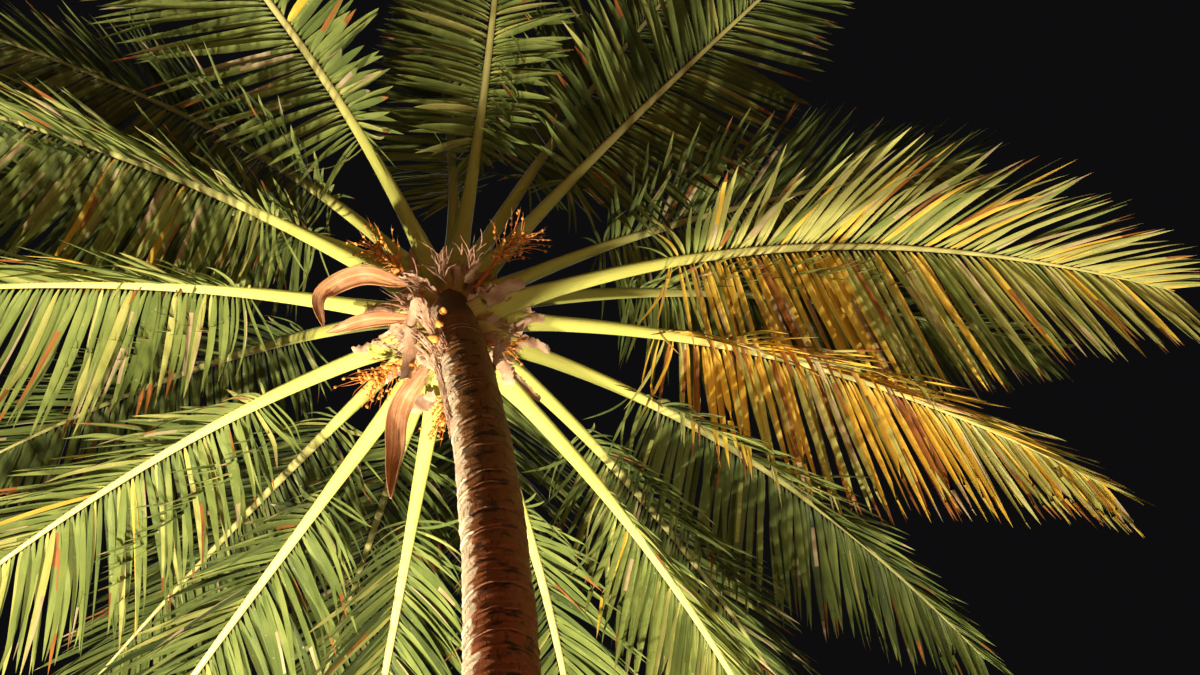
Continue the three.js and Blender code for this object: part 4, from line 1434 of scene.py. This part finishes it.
@dataclass
class SheathEdges:
    """Torn papery edges that the leaf bases keep on both sides."""

    lines: list[RibLine]
    reach: float = 0.42
    widest: float = 0.055
    inset: float = 0.93
    lift: float = 0.008
    ruffle: float = 0.016
    droop: float = 0.35
    overlap: float = 0.003
    thickness: float = 0.003
    stations: int = 22
    seed: int = 31

    def build(self) -> bpy.types.Object:
        """Models a ruffled ribbon along each edge of each base.

        Returns:
            The dressed ribbons.
        """
        draw = random.Random(self.seed)
        batch = Batch()
        for line in self.lines:
            stalk = Stalk(line)
            for sign in (1.0, -1.0):
                self.ribbon(batch, line, stalk, sign, draw)
        piece = batch.piece("sheath_edges")
        apply_modifier(piece, "SOLIDIFY", thickness=self.thickness, offset=0.0)
        return settle(piece, "sheath_edges", [FibreCloth()], crease=60.0)

    def ribbon(self, batch: Batch, line: RibLine, stalk: Stalk, sign: float, draw: random.Random) -> None:
        """Adds one ribbon.

        Args:
            batch: The mesh that it joins.
            line: The frond's line.
            stalk: The frond's stalk, for its width.
            sign: The edge that it runs along.
            draw: The source of chance.
        """
        reach = self.reach * draw.uniform(0.55, 1.1)
        distance = np.linspace(-0.01, reach, self.stations)
        point, _, side, normal = line.at(distance)
        share = np.linspace(0.0, 1.0, self.stations)
        half = np.array([stalk.size(value).width / 2 for value in distance]) * self.inset
        flare = self.widest * draw.uniform(0.5, 1.2) * np.sin(np.pi * share**0.7) ** 0.6
        flare *= 1.0 + 0.5 * np.array([draw.uniform(-1.0, 1.0) for _ in share])
        ruffle = self.ruffle * np.sin(share * draw.uniform(14.0, 26.0) + draw.uniform(0.0, 6.0))
        inner = point + side * (sign * half)[:, None] + normal * self.lift
        rows = []
        for step, lift in ((0.0, 0.0), (0.5, 0.6), (1.0, 1.0)):
            rows.append(inner + side * (sign * step * (flare + self.overlap))[:, None]
                        + normal * (lift * (ruffle - self.droop * flare))[:, None])
        points = np.stack(rows, axis=1).reshape(-1, 3)
        faces = []
        for k in range(self.stations - 1):
            for j in range(2):
                a, b = 3 * k + j, 3 * (k + 1) + j
                faces.append((a, a + 1, b + 1, b) if sign > 0 else (a, b, b + 1, a + 1))
        breadth = np.tile([0.0, 0.5, 1.0], self.stations) * self.widest
        batch.add(points, faces, [0] * len(faces), np.column_stack([breadth, np.repeat(distance, 3)]))


# Crown details


def crown_line(places: Sequence[Place], count: int = 40) -> np.ndarray:
    """A smooth line through places in the crown.

    Args:
        places: Azimuth, radius and height of each.
        count: Number of points wanted.

    Returns:
        Rows of points at an even gap.
    """
    knots = np.array([STEM.crown_point(*place) for place in places])
    knots = np.vstack([2 * knots[0] - knots[1], knots, 2 * knots[-1] - knots[-2]])
    rows = []
    for k in range(1, len(knots) - 2):
        before, first, second, after = knots[k - 1:k + 3]
        square = 2 * before - 5 * first + 4 * second - after
        cube = 3 * first - before - 3 * second + after
        for t in np.linspace(0.0, 1.0, 24, endpoint=k == len(knots) - 3):
            rows.append(0.5 * (2 * first + (second - before) * t + square * t**2 + cube * t**3))
    line = np.array(rows)
    gone = np.concatenate([[0.0], np.cumsum(np.linalg.norm(np.diff(line, axis=0), axis=1))])
    return between(np.linspace(0.0, gone[-1], count), gone, line)


def line_length(line: np.ndarray) -> float:
    """The length of a line of points."""
    return float(np.linalg.norm(np.diff(line, axis=0), axis=1).sum())


@dataclass
class Bract:
    """An old flower bract: a boat-shaped woody husk, open below."""

    node: str
    places: tuple[Place, ...]
    width: float
    depth: float = 0.84
    wall: float = 0.006
    sides: int = 48
    rim_level: float = 0.17
    groove_turn: float = 7.5  # one side of the circle
    groove_depth: float = 0.955
    stations: int = 26
    ends: Span = (0.006, 0.994)
    widest_shift: float = 0.8
    fullness: float = 0.7

    def in_groove(self, point: bmesh.types.BMVert) -> bool:
        """Whether a point of the circle lies in a groove, as every third one does."""
        turn = math.degrees(math.atan2(point.co.y, point.co.x))
        return round(turn / self.groove_turn) % 3 == 0

    def outline(self, piece: bpy.types.Object) -> None:
        """Cuts a circle open below, presses grooves into it and sets its depth, in edit mode."""
        pick(piece, lambda point: point.co.y < self.rim_level)
        bpy.ops.mesh.delete(type="VERT")
        pick(piece, self.in_groove)
        scale_at(0.0, self.groove_depth, self.groove_depth)
        bpy.ops.mesh.select_all(action="SELECT")
        scale_at(0.0, 1.0, self.depth)
        bpy.ops.transform.translate(value=(0.0, -self.depth, 0.0))

    def build(self) -> bpy.types.Object:
        """Models the husk from the upper part of a circle.

        Returns:
            The dressed husk.
        """
        line = crown_line(self.places)
        length = line_length(line)
        clear_selection()
        bpy.ops.mesh.primitive_circle_add(vertices=self.sides, radius=1.0, fill_type="NOTHING")
        piece = bpy.context.object
        bpy.ops.object.mode_set(mode="EDIT")
        self.outline(piece)
        size, at = 1.0, 0.0
        for k in range(self.stations + 1):
            share = mix(*self.ends, k / self.stations)
            half = self.width / 2 * math.sin(math.pi * share**self.widest_shift) ** self.fullness
            if k:
                extrude_up(share * length - at)
            else:
                bpy.ops.transform.translate(value=(0.0, 0.0, share * length))
            scale_at(share * length, half / size, half / size)
            size, at = half, share * length
        leave_edit()
        apply_modifier(piece, "SOLIDIFY", thickness=self.wall, offset=0.0)
        keep_vector(piece, "straight", coordinates(piece))
        lay_along(piece, line)
        return settle(piece, f"husk_{self.node}", [Husk()], [self.node], crease=35.0)


BRACTS = (
    Bract("bract_hooked", ((216, 0.26, 0.13), (205, 0.50, 0.18), (192, 0.68, 0.11), (183, 0.65, -0.09)),
          0.112),
    Bract("bract_hanging", ((128, 0.19, -0.17), (127, 0.50, -0.15), (121, 0.64, -0.37), (119, 0.70, -0.69)),
          0.118),
    Bract("bract_low", ((192, 0.20, -0.04), (184, 0.43, 0.0), (176, 0.67, 0.03)), 0.084),
)


@dataclass
class FibreWrap:
    """Ruffled fibre cloth that wraps part of the neck and flares out under the leaf bases."""

    node: str
    start: float
    end: float
    seed: int
    low: float = -0.42
    high: float = -0.15
    low_radius: float = 0.142
    high_radius: float = 0.27
    columns: int = 110
    rows: int = 26
    rips: int = 13
    wave_height: float = 0.035
    wave_flare: float = 0.03
    rough: float = 0.006
    flare_power: float = 2.1
    thickness: float = 0.004
    weave: Span = (0.5, 0.3)

    def build(self) -> bpy.types.Object:
        """Models the cloth from a grid with torn rims.

        Returns:
            The dressed cloth.
        """
        draw = random.Random(self.seed)
        waves = [(draw.uniform(6.0, 34.0), draw.uniform(0.0, 6.3), draw.uniform(0.3, 1.0)) for _ in range(6)]
        piece, flat = add_grid(self.columns, self.rows)
        shaped = np.empty_like(flat)
        for index, (u, v, _) in enumerate(flat):
            wave = sum(size * math.sin(rate * u + turn) for rate, turn, size in waves) / 4.0
            height = mix(self.low, self.high, v) + self.wave_height * wave * (1.0 if v > 0.5 else 0.6)
            radius = mix(self.low_radius, self.high_radius, v**self.flare_power) + self.wave_flare * wave * v
            radius += self.rough * draw.uniform(-1.0, 1.0)
            shaped[index] = STEM.centre(STEM.height + height)
            shaped[index] += radius * outward(mix(self.start, self.end, u))
        move_points(piece, shaped)
        keep_grain(piece, flat[:, :2] * np.array(self.weave))
        self.tear(piece, flat, draw)
        apply_modifier(piece, "SOLIDIFY", thickness=self.thickness, offset=0.0)
        nodes = [self.node] if self.node else []
        return settle(piece, f"cloth_{self.node or 'trunk'}", [FibreCloth()], nodes, crease=60.0)

    def tear(self, piece: bpy.types.Object, flat: np.ndarray, draw: random.Random) -> None:
        """Deletes ragged notches from both rims and a few splits.

        Args:
            piece: The cloth.
            flat: Where each point lies on the uncut cloth.
            draw: The source of chance.
        """
        notch = [draw.uniform(0.02, 0.30) ** 1.5 for _ in range(self.columns)]
        for _ in range(self.rips):
            middle = draw.randrange(self.columns)
            half, depth = draw.uniform(1.5, 6.0), draw.uniform(0.35, 1.1)
            notch = [max(cut, depth * (1.0 - abs(k - middle) / half)) for k, cut in enumerate(notch)]
        foot = [draw.uniform(0.0, 0.45) ** 1.6 for _ in range(self.columns)]
        bpy.context.view_layer.objects.active = piece
        bpy.ops.object.mode_set(mode="EDIT")
        bpy.ops.mesh.select_mode(type="FACE")
        shape = bmesh.from_edit_mesh(piece.data)
        for face in shape.faces:
            u, v = (float(np.mean([flat[point.index][k] for point in face.verts])) for k in range(2))
            column = min(int(u * self.columns), self.columns - 1)
            face.select = v > 1.0 - notch[column] or v < foot[column]
        bmesh.update_edit_mesh(piece.data)
        bpy.ops.mesh.delete(type="FACE")
        bpy.ops.mesh.select_mode(type="VERT")
        leave_edit()


FIBRES = (FibreWrap("fibre_left", 150.0, 240.0, 11), FibreWrap("fibre_right", -8.0, 74.0, 12))
TRUNK_FIBRE = FibreWrap("", 168.0, 208.0, 13, low=-0.85, high=-0.28, low_radius=0.139, high_radius=0.152,
                        columns=40)


@dataclass(frozen=True)
class Nut:
    """One small nut to copy: its points, its faces and the finish of each face."""

    points: np.ndarray
    faces: list[Face]
    slots: list[int]

    def add_to(self, batch: Batch, place: np.ndarray, way: np.ndarray, draw: random.Random) -> None:
        """Adds a copy at a place, pointing roughly a way."""
        aim = unit(way + np.array([draw.gauss(0.0, 0.35) for _ in range(3)]))
        turned = self.points * draw.uniform(0.75, 1.2) @ frame_on(aim)
        batch.add(turned + place, self.faces, self.slots, np.zeros((len(self.points), 2)))


def model_nut(radius: float) -> Nut:
    """Models one small nut: a drawn-out ball on a flat cap, whose finish is the twig's.

    Args:
        radius: Its radius.

    Returns:
        The nut, standing on its cap.
    """
    clear_selection()
    bpy.ops.mesh.primitive_uv_sphere_add(segments=8, ring_count=6, radius=radius)
    nut = bpy.context.object
    bpy.ops.object.mode_set(mode="EDIT")
    shoulder, cap = 0.4 * radius, -0.55 * radius
    pick(nut, lambda point: point.co.z > shoulder)
    scale_at(shoulder, 0.82, 0.82, 1.5)
    pick(nut, lambda point: point.co.z < cap)
    scale_at(cap, 1.35, 1.35, 0.7)
    bpy.ops.object.mode_set(mode="OBJECT")
    faces = [tuple(face.vertices) for face in nut.data.polygons]
    slots = [0 if face.center.z < -0.5 * radius else 1 for face in nut.data.polygons]
    points = coordinates(nut) + np.array([0.0, 0.0, 0.6 * radius])
    bpy.data.objects.remove(nut)
    return Nut(points, faces, slots)


def frame_on(direction: np.ndarray) -> np.ndarray:
    """Rows of two cross directions and the direction itself."""
    side = np.cross(direction, UP)
    side = unit(side) if np.linalg.norm(side) > 1e-3 else np.array([1.0, 0.0, 0.0])
    return np.array([side, np.cross(direction, side), direction])


def ring_on(middle: np.ndarray, way: np.ndarray, radius: float, sides: int) -> list[np.ndarray]:
    """Points round a middle, square to a way."""
    side, other, _ = frame_on(way)
    turns = [2 * math.pi * i / sides for i in range(sides)]
    return [middle + radius * (side * math.cos(turn) + other * math.sin(turn)) for turn in turns]


@dataclass(frozen=True)
class Twig:
    """A wavy twig that tapers to a point."""

    length: float
    radius: float
    slot: int
    hang: float
    sides: int = 5
    stations: int = 7

    def add_to(self, batch: Batch, start: np.ndarray, way: np.ndarray, draw: random.Random) -> np.ndarray:
        """Adds the twig.

        Args:
            batch: The mesh that it joins.
            start: Its foot.
            way: Its first direction.
            draw: The source of chance.

        Returns:
            Rows of points down its middle.
        """
        middle = [np.array(start, float)]
        rows = []
        for k in range(self.stations):
            wobble = np.array([draw.gauss(0.0, 0.10) for _ in range(3)])
            way = unit(way + wobble - UP * self.hang * 1.6 / self.stations)
            rows += ring_on(middle[-1], way, self.radius * (1.0 - 0.75 * k / self.stations), self.sides)
            middle.append(middle[-1] + way * (self.length / self.stations))
        rows.append(middle[-1])
        faces = tube_faces(self.stations, self.sides)
        grain = np.column_stack([np.zeros(len(rows)), np.linspace(0.0, self.length, len(rows))])
        batch.add(np.array(rows), faces, [self.slot] * len(faces), grain)
        return np.array(middle)


@dataclass
class FlowerBranch:
    """A flower branch: a stout stalk with a broom of thin twigs that carry small nuts."""

    node: str
    places: tuple[Place, ...]
    seed: int
    twigs: int = 34
    twig_length: float = 0.235
    twig_radius: float = 0.0032
    foot_radius: float = 0.014
    end_radius: float = 0.008
    sides: int = 10
    small_nut: float = 0.0075
    large_nut: float = 0.017
    bearing: Span = (0.5, 0.98)
    leaf_turn: float = 137.5

    def build(self) -> bpy.types.Object:
        """Models the branch.

        Returns:
            The dressed branch.
        """
        draw = random.Random(self.seed)
        batch = Batch()
        line = crown_line(self.places, 30)
        self.stalk(batch, line)
        small, large = model_nut(self.small_nut), model_nut(self.large_nut)
        for i in range(self.twigs):
            share = mix(*self.bearing, i / (self.twigs - 1))
            k = min(int(share * (len(line) - 1)), len(line) - 2)
            heading = unit(line[k + 1] - line[k])
            side, other, _ = frame_on(heading)
            turn = math.radians(i * self.leaf_turn)
            away = side * math.cos(turn) + other * math.sin(turn)
            way = unit(heading + away * draw.uniform(0.45, 1.0))
            length = self.twig_length * draw.uniform(0.6, 1.08)
            twig = Twig(length, self.twig_radius, draw.choice((0, 0, 1)), hang=0.35)
            middle = twig.add_to(batch, line[k], way, draw)
            for _ in range(draw.randrange(2, 6)):
                small.add_to(batch, middle[draw.randrange(1, len(middle) - 1)], away, draw)
            if i % 3 == 0:
                large.add_to(batch, middle[1], unit(away + heading * 0.4), draw)
        name = f"flowers_{self.node}"
        return settle(batch.piece(name), name, FLOWER_SKINS, [self.node], crease=50.0)

    def stalk(self, batch: Batch, line: np.ndarray) -> None:
        """Adds the branch's stout stalk."""
        rows = []
        for k, middle in enumerate(line[:-1]):
            size = mix(self.foot_radius, self.end_radius, k / (len(line) - 1))
            size *= 1.0 + 0.12 * math.sin(2.4 * k)
            rows += ring_on(middle, unit(line[k + 1] - middle), size, self.sides)
        rows.append(line[-1])
        faces = tube_faces(len(line) - 1, self.sides)
        batch.add(np.array(rows), faces, [0] * len(faces), np.zeros((len(rows), 2)))


BRANCHES = (
    FlowerBranch("flower_branch_upper_left", ((215, 0.165, 0.13), (214, 0.33, 0.32), (213, 0.48, 0.40)), 1),
    FlowerBranch("flower_branch_upper_right", ((327, 0.165, 0.15), (328, 0.34, 0.37), (329, 0.50, 0.45)), 2),
    FlowerBranch("flower_branch_lower_left", ((146, 0.18, -0.15), (147, 0.35, -0.08), (148, 0.52, -0.11)), 3),
    FlowerBranch("flower_branch_by_stem", ((100, 0.175, -0.19), (99, 0.31, -0.21), (98, 0.41, -0.34)), 4),
    FlowerBranch("flower_branch_right", ((31, 0.18, -0.11), (31, 0.27, -0.06), (30, 0.35, -0.03)), 5,
                 twigs=14, twig_length=0.14),
)


@dataclass(frozen=True)
class FlapPlan:
    """A papery flap: the crown places along its middle, its width and how far its edges curl, in degrees."""

    places: tuple[Place, ...]
    width: float
    curl: float = 120.0


FLAPS = (
    FlapPlan(((236, 0.15, -0.27), (224, 0.20, -0.12), (190, 0.20, -0.16), (160, 0.22, -0.27),
              (150, 0.26, -0.42)), 0.085, 150.0),
    FlapPlan(((185, 0.38, 0.13), (175, 0.30, 0.04), (160, 0.25, -0.06)), 0.11, 90.0),
    FlapPlan(((172, 0.50, 0.17), (178, 0.43, 0.14), (186, 0.37, 0.12)), 0.10, 190.0),
    FlapPlan(((157, 0.62, 0.17), (156, 0.46, 0.09), (156, 0.30, 0.0)), 0.10, 150.0),
    FlapPlan(((140, 0.54, 0.04), (139, 0.45, 0.0), (138, 0.38, -0.03)), 0.085, 200.0),
    FlapPlan(((193, 0.21, 0.14), (200, 0.27, 0.21), (200, 0.32, 0.25), (214, 0.26, 0.22)), 0.08, 160.0),
    FlapPlan(((125, 0.57, -0.03), (116, 0.50, -0.07), (106, 0.40, -0.11)), 0.11, 70.0),
    FlapPlan(((42, 0.25, -0.09), (48, 0.33, -0.07), (50, 0.40, -0.05), (55, 0.48, -0.05)), 0.09, 90.0),
    FlapPlan(((50, 0.43, 0.02), (53, 0.58, 0.06), (54, 0.73, 0.13)), 0.06, 110.0),
    FlapPlan(((38, 0.40, 0.11), (34, 0.49, 0.19), (36, 0.63, 0.27)), 0.08, 130.0),
    FlapPlan(((25, 0.37, 0.15), (19, 0.45, 0.23), (19, 0.53, 0.29)), 0.07, 140.0),
    FlapPlan(((84, 0.24, -0.16), (82, 0.36, -0.13), (80, 0.47, -0.15)), 0.09, 100.0),
    FlapPlan(((262, 0.19, 0.12), (266, 0.24, 0.22), (268, 0.28, 0.31)), 0.055, 150.0),
    FlapPlan(((304, 0.19, 0.08), (306, 0.24, 0.17), (310, 0.28, 0.24)), 0.055, 150.0),
    FlapPlan(((340, 0.21, 0.0), (344, 0.31, 0.12), (349, 0.42, 0.20)), 0.10, 100.0),
)


@dataclass
class PaperFlaps:
    """Dry sheath paper that has come loose round the leaf bases and curled."""

    columns: int = 12
    rows: int = 26
    thickness: float = 0.003
    ruffle: float = 0.006
    taper: Span = (0.12, 0.94)
    seed: int = 91

    def build(self) -> bpy.types.Object:
        """Models every flap and joins them.

        Returns:
            The dressed flaps.
        """
        draw = random.Random(self.seed)
        made = [self.flap(plan, draw) for plan in FLAPS]
        clear_selection()
        for piece in made:
            piece.select_set(True)
        bpy.context.view_layer.objects.active = made[0]
        bpy.ops.object.join()
        apply_modifier(made[0], "SOLIDIFY", thickness=self.thickness, offset=0.0)
        return settle(made[0], "sheath_paper", [FibreCloth()], crease=60.0)

    def flap(self, plan: FlapPlan, draw: random.Random) -> bpy.types.Object:
        """Models one flap from a flat grid.

        Args:
            plan: Where it lies and how wide it is.
            draw: The source of chance.

        Returns:
            The curled sheet.
        """
        line = crown_line(plan.places)
        piece, flat = add_grid(self.columns, self.rows)
        torn = [draw.uniform(0.72, 1.15) for _ in range(self.rows + 2)]
        turn, rate = draw.uniform(0.0, 6.3), draw.uniform(5.0, 11.0)
        shaped = np.empty_like(flat)
        for index, (u, v, _) in enumerate(flat):
            step = min(max(v, 0.0), 1.0) * (len(line) - 2)
            k = int(step)
            middle = line[k] + (line[k + 1] - line[k]) * (step - k)
            side, other, _ = frame_on(unit(line[k + 1] - line[k]))
            width = plan.width * (0.35 + 0.65 * math.sin(math.pi * mix(*self.taper, v)) ** 0.5)
            width *= torn[round(v * self.rows)]
            curl = math.radians(plan.curl) * (0.7 + 0.4 * math.sin(rate * v + turn))
            bend = (u - 0.5) * curl
            radius = width / curl
            ruffle = self.ruffle * math.sin(1.2 * rate * v + 5.0 * u + turn)
            drop = radius * (1.0 - math.cos(bend)) + ruffle
            shaped[index] = middle + side * radius * math.sin(bend) - other * drop
        move_points(piece, shaped)
        keep_grain(piece, flat[:, :2] * np.array([plan.width, line_length(line)]))
        return piece


@dataclass
class DryRemains:
    """Dried flower twigs, loose fibres and a few young nuts caught among the leaf bases."""

    spots: tuple[Place, ...] = ((200, 0.24, -0.02), (222, 0.20, 0.10), (262, 0.20, 0.16), (300, 0.24, 0.24),
                                (20, 0.24, -0.06), (60, 0.22, -0.14), (130, 0.22, -0.20), (165, 0.24, -0.10))
    nut_spots: tuple[Place, ...] = ((250, 0.08, -0.27), (220, 0.06, -0.33), (262, 0.11, -0.18),
                                    (150, 0.21, -0.30))
    nut_radius: float = 0.027
    nut_drop: float = 0.2
    strands: int = 22
    seed: int = 71

    def build(self) -> bpy.types.Object:
        """Models the remains.

        Returns:
            The dressed piece.
        """
        draw = random.Random(self.seed)
        batch = Batch()
        for spot in self.spots:
            for _ in range(self.strands):
                azimuth = spot[0] + draw.gauss(0.0, 7.0)
                radius, height = spot[1] + draw.gauss(0.0, 0.03), spot[2] + draw.gauss(0.0, 0.05)
                way = outward(azimuth) + UP * draw.gauss(0.1, 0.5)
                way = unit(way + np.array([draw.gauss(0.0, 0.4) for _ in range(3)]))
                length, girth = draw.uniform(0.05, 0.19), draw.uniform(0.0015, 0.004)
                twig = Twig(length, girth, slot=2, hang=0.6, sides=4, stations=6)
                twig.add_to(batch, STEM.crown_point(azimuth, radius, height), way, draw)
        nut = model_nut(self.nut_radius)
        for spot in self.nut_spots:
            nut.add_to(batch, STEM.crown_point(*spot), outward(spot[0]) - UP * self.nut_drop, draw)
        piece = batch.piece("dry_remains")
        return settle(piece, "dry_remains", FLOWER_SKINS, crease=50.0)


@dataclass
class SpearLeaf:
    """The unopened leaf in the middle of the crown, its leaflets still pleated together."""

    length: float = 1.7
    radius: float = 0.034
    pleats: int = 20
    pleat_depth: float = 0.8
    swell_at: tuple[float, ...] = (0.0, 0.12, 0.55, 1.0)
    swell: tuple[float, ...] = (0.9, 1.0, 0.72, 0.04)
    stations: int = 34
    clearance: float = 0.001
    skin_reach: float = 0.35

    def pleat(self, piece: bpy.types.Object) -> None:
        """Draws every other point of the outline inwards."""
        pick(piece, lambda point: point.index % 2 == 0)
        scale_at(0.0, self.pleat_depth, self.pleat_depth)

    def build(self) -> bpy.types.Object:
        """Models the spear.

        Returns:
            The dressed spear.
        """
        sections = []
        for k in range(self.stations + 1):
            share = k / self.stations
            size = float(np.interp(share, self.swell_at, self.swell))
            width = 2 * self.radius * size * (1.0 + 0.03 * math.sin(2.1 * k))
            sections.append(Section(share * (self.length - self.clearance), width, width))
        piece = raise_limb(2 * self.pleats, sections, self.pleat)
        keep_vector(piece, "straight", coordinates(piece))
        keep_value(piece, "reach", np.full(len(piece.data.vertices), self.skin_reach))
        foot = STEM.core_height + self.clearance
        lay_along(piece, crown_line(((0, 0.0, foot), (0, 0.0, foot + self.length)), 12), twist="MINIMUM")
        return settle(piece, "spear_leaf_pleats", [StalkSkin()], ["spear_leaf"], crease=25.0)


# Studio


@dataclass(frozen=True)
class SoftLight:
    """A large soft lamp that points at the crown."""

    name: str
    place: Place
    size: float
    power: float
    tint: Colour
    aim: Place = (-0.3, -0.7, 6.6)

    def hang(self) -> None:
        """Places the lamp."""
        data = bpy.data.lights.new(self.name, "AREA")
        data.shape = "DISK"
        data.size = self.size
        data.energy = self.power
        data.color = self.tint
        lamp = bpy.data.objects.new(self.name, data)
        lamp.location = self.place
        lamp.rotation_euler = (Vector(self.aim) - Vector(self.place)).to_track_quat("-Z", "Y").to_euler()
        lamp.visible_camera = False
        bpy.context.collection.objects.link(lamp)


LAMPS = (
    SoftLight("key_low_left", (-3.86, 1.07, 0.3), 0.35, 1050.0, (1.0, 0.87, 0.64)),
    SoftLight("key_low_back", (-0.73, 1.06, 0.3), 0.35, 560.0, (1.0, 0.87, 0.64)),
    SoftLight("fill_low_front", (1.5, -5.0, 0.8), 2.0, 62.0, (1.0, 0.46, 0.20)),
    SoftLight("fill_low_right", (4.5, 0.5, 0.5), 1.5, 60.0, (1.0, 0.84, 0.60)),
    SoftLight("top_soft", (-2.0, 3.0, 15.0), 9.0, 80.0, (1.0, 0.95, 0.86)),
)


@dataclass
class Studio:
    """A pale floor, soft lamps and the camera that looks up from beside the trunk."""

    camera_place: Place = (0.35, -2.62, 1.55)
    camera_climb: float = 68.0
    camera_roll: float = -4.0
    lens: float = 28.8
    sensor: float = 36.0
    sight: float = 200.0
    floor_size: float = 60.0
    backdrop: Colour = (0.004, 0.004, 0.0045)

    def floor(self) -> None:
        """Lays the floor at ground level."""
        clear_selection()
        bpy.ops.mesh.primitive_plane_add(size=self.floor_size)
        floor = bpy.context.object
        floor.name = "studio_floor"
        floor.data.materials.append(Paper().material())

    def camera(self) -> None:
        """Places the camera at the height of a standing viewer's eye."""
        data = bpy.data.cameras.new("camera")
        data.lens = self.lens
        data.sensor_width = self.sensor
        data.clip_end = self.sight
        viewer = bpy.data.objects.new("camera", data)
        climb, roll = math.radians(self.camera_climb), math.radians(self.camera_roll)
        forward = Vector((0.0, math.cos(climb), math.sin(climb)))
        level = Vector((1.0, 0.0, 0.0))
        upright = level.cross(forward)
        right = level * math.cos(roll) + upright * math.sin(roll)
        top = upright * math.cos(roll) - level * math.sin(roll)
        turn = viewer.matrix_world.to_3x3()
        for k in range(3):
            turn[k] = (right[k], top[k], -forward[k])
        viewer.matrix_world = turn.to_4x4()
        viewer.location = self.camera_place
        bpy.context.collection.objects.link(viewer)
        bpy.context.scene.camera = viewer

    def backdrop_light(self) -> None:
        """Fills the room with a little even light."""
        world = bpy.data.worlds.new("studio")
        world.use_nodes = True
        world.node_tree.nodes["Background"].inputs["Color"].default_value = (*self.backdrop, 1.0)
        bpy.context.scene.world = world
        bpy.context.scene.view_settings.view_transform = "Standard"

    def build(self) -> None:
        """Sets the studio up."""
        self.camera()
        self.floor()
        self.backdrop_light()
        for lamp in LAMPS:
            lamp.hang()


def main() -> None:
    """Builds the studio and every piece of the palm."""
    logging.basicConfig(level=logging.INFO, format="%(message)s")
    Studio().build()
    Trunk().build()
    lines = [RibLine(plan) for plan in FRONDS]
    for line in lines:
        Stalk(line).build()
        Leaflets(line).build()
    SheathEdges(lines).build()
    for part in (*BRACTS, *FIBRES, TRUNK_FIBRE, PaperFlaps(), *BRANCHES, DryRemains(), SpearLeaf()):
        part.build()


if __name__ == "__main__":
    main()
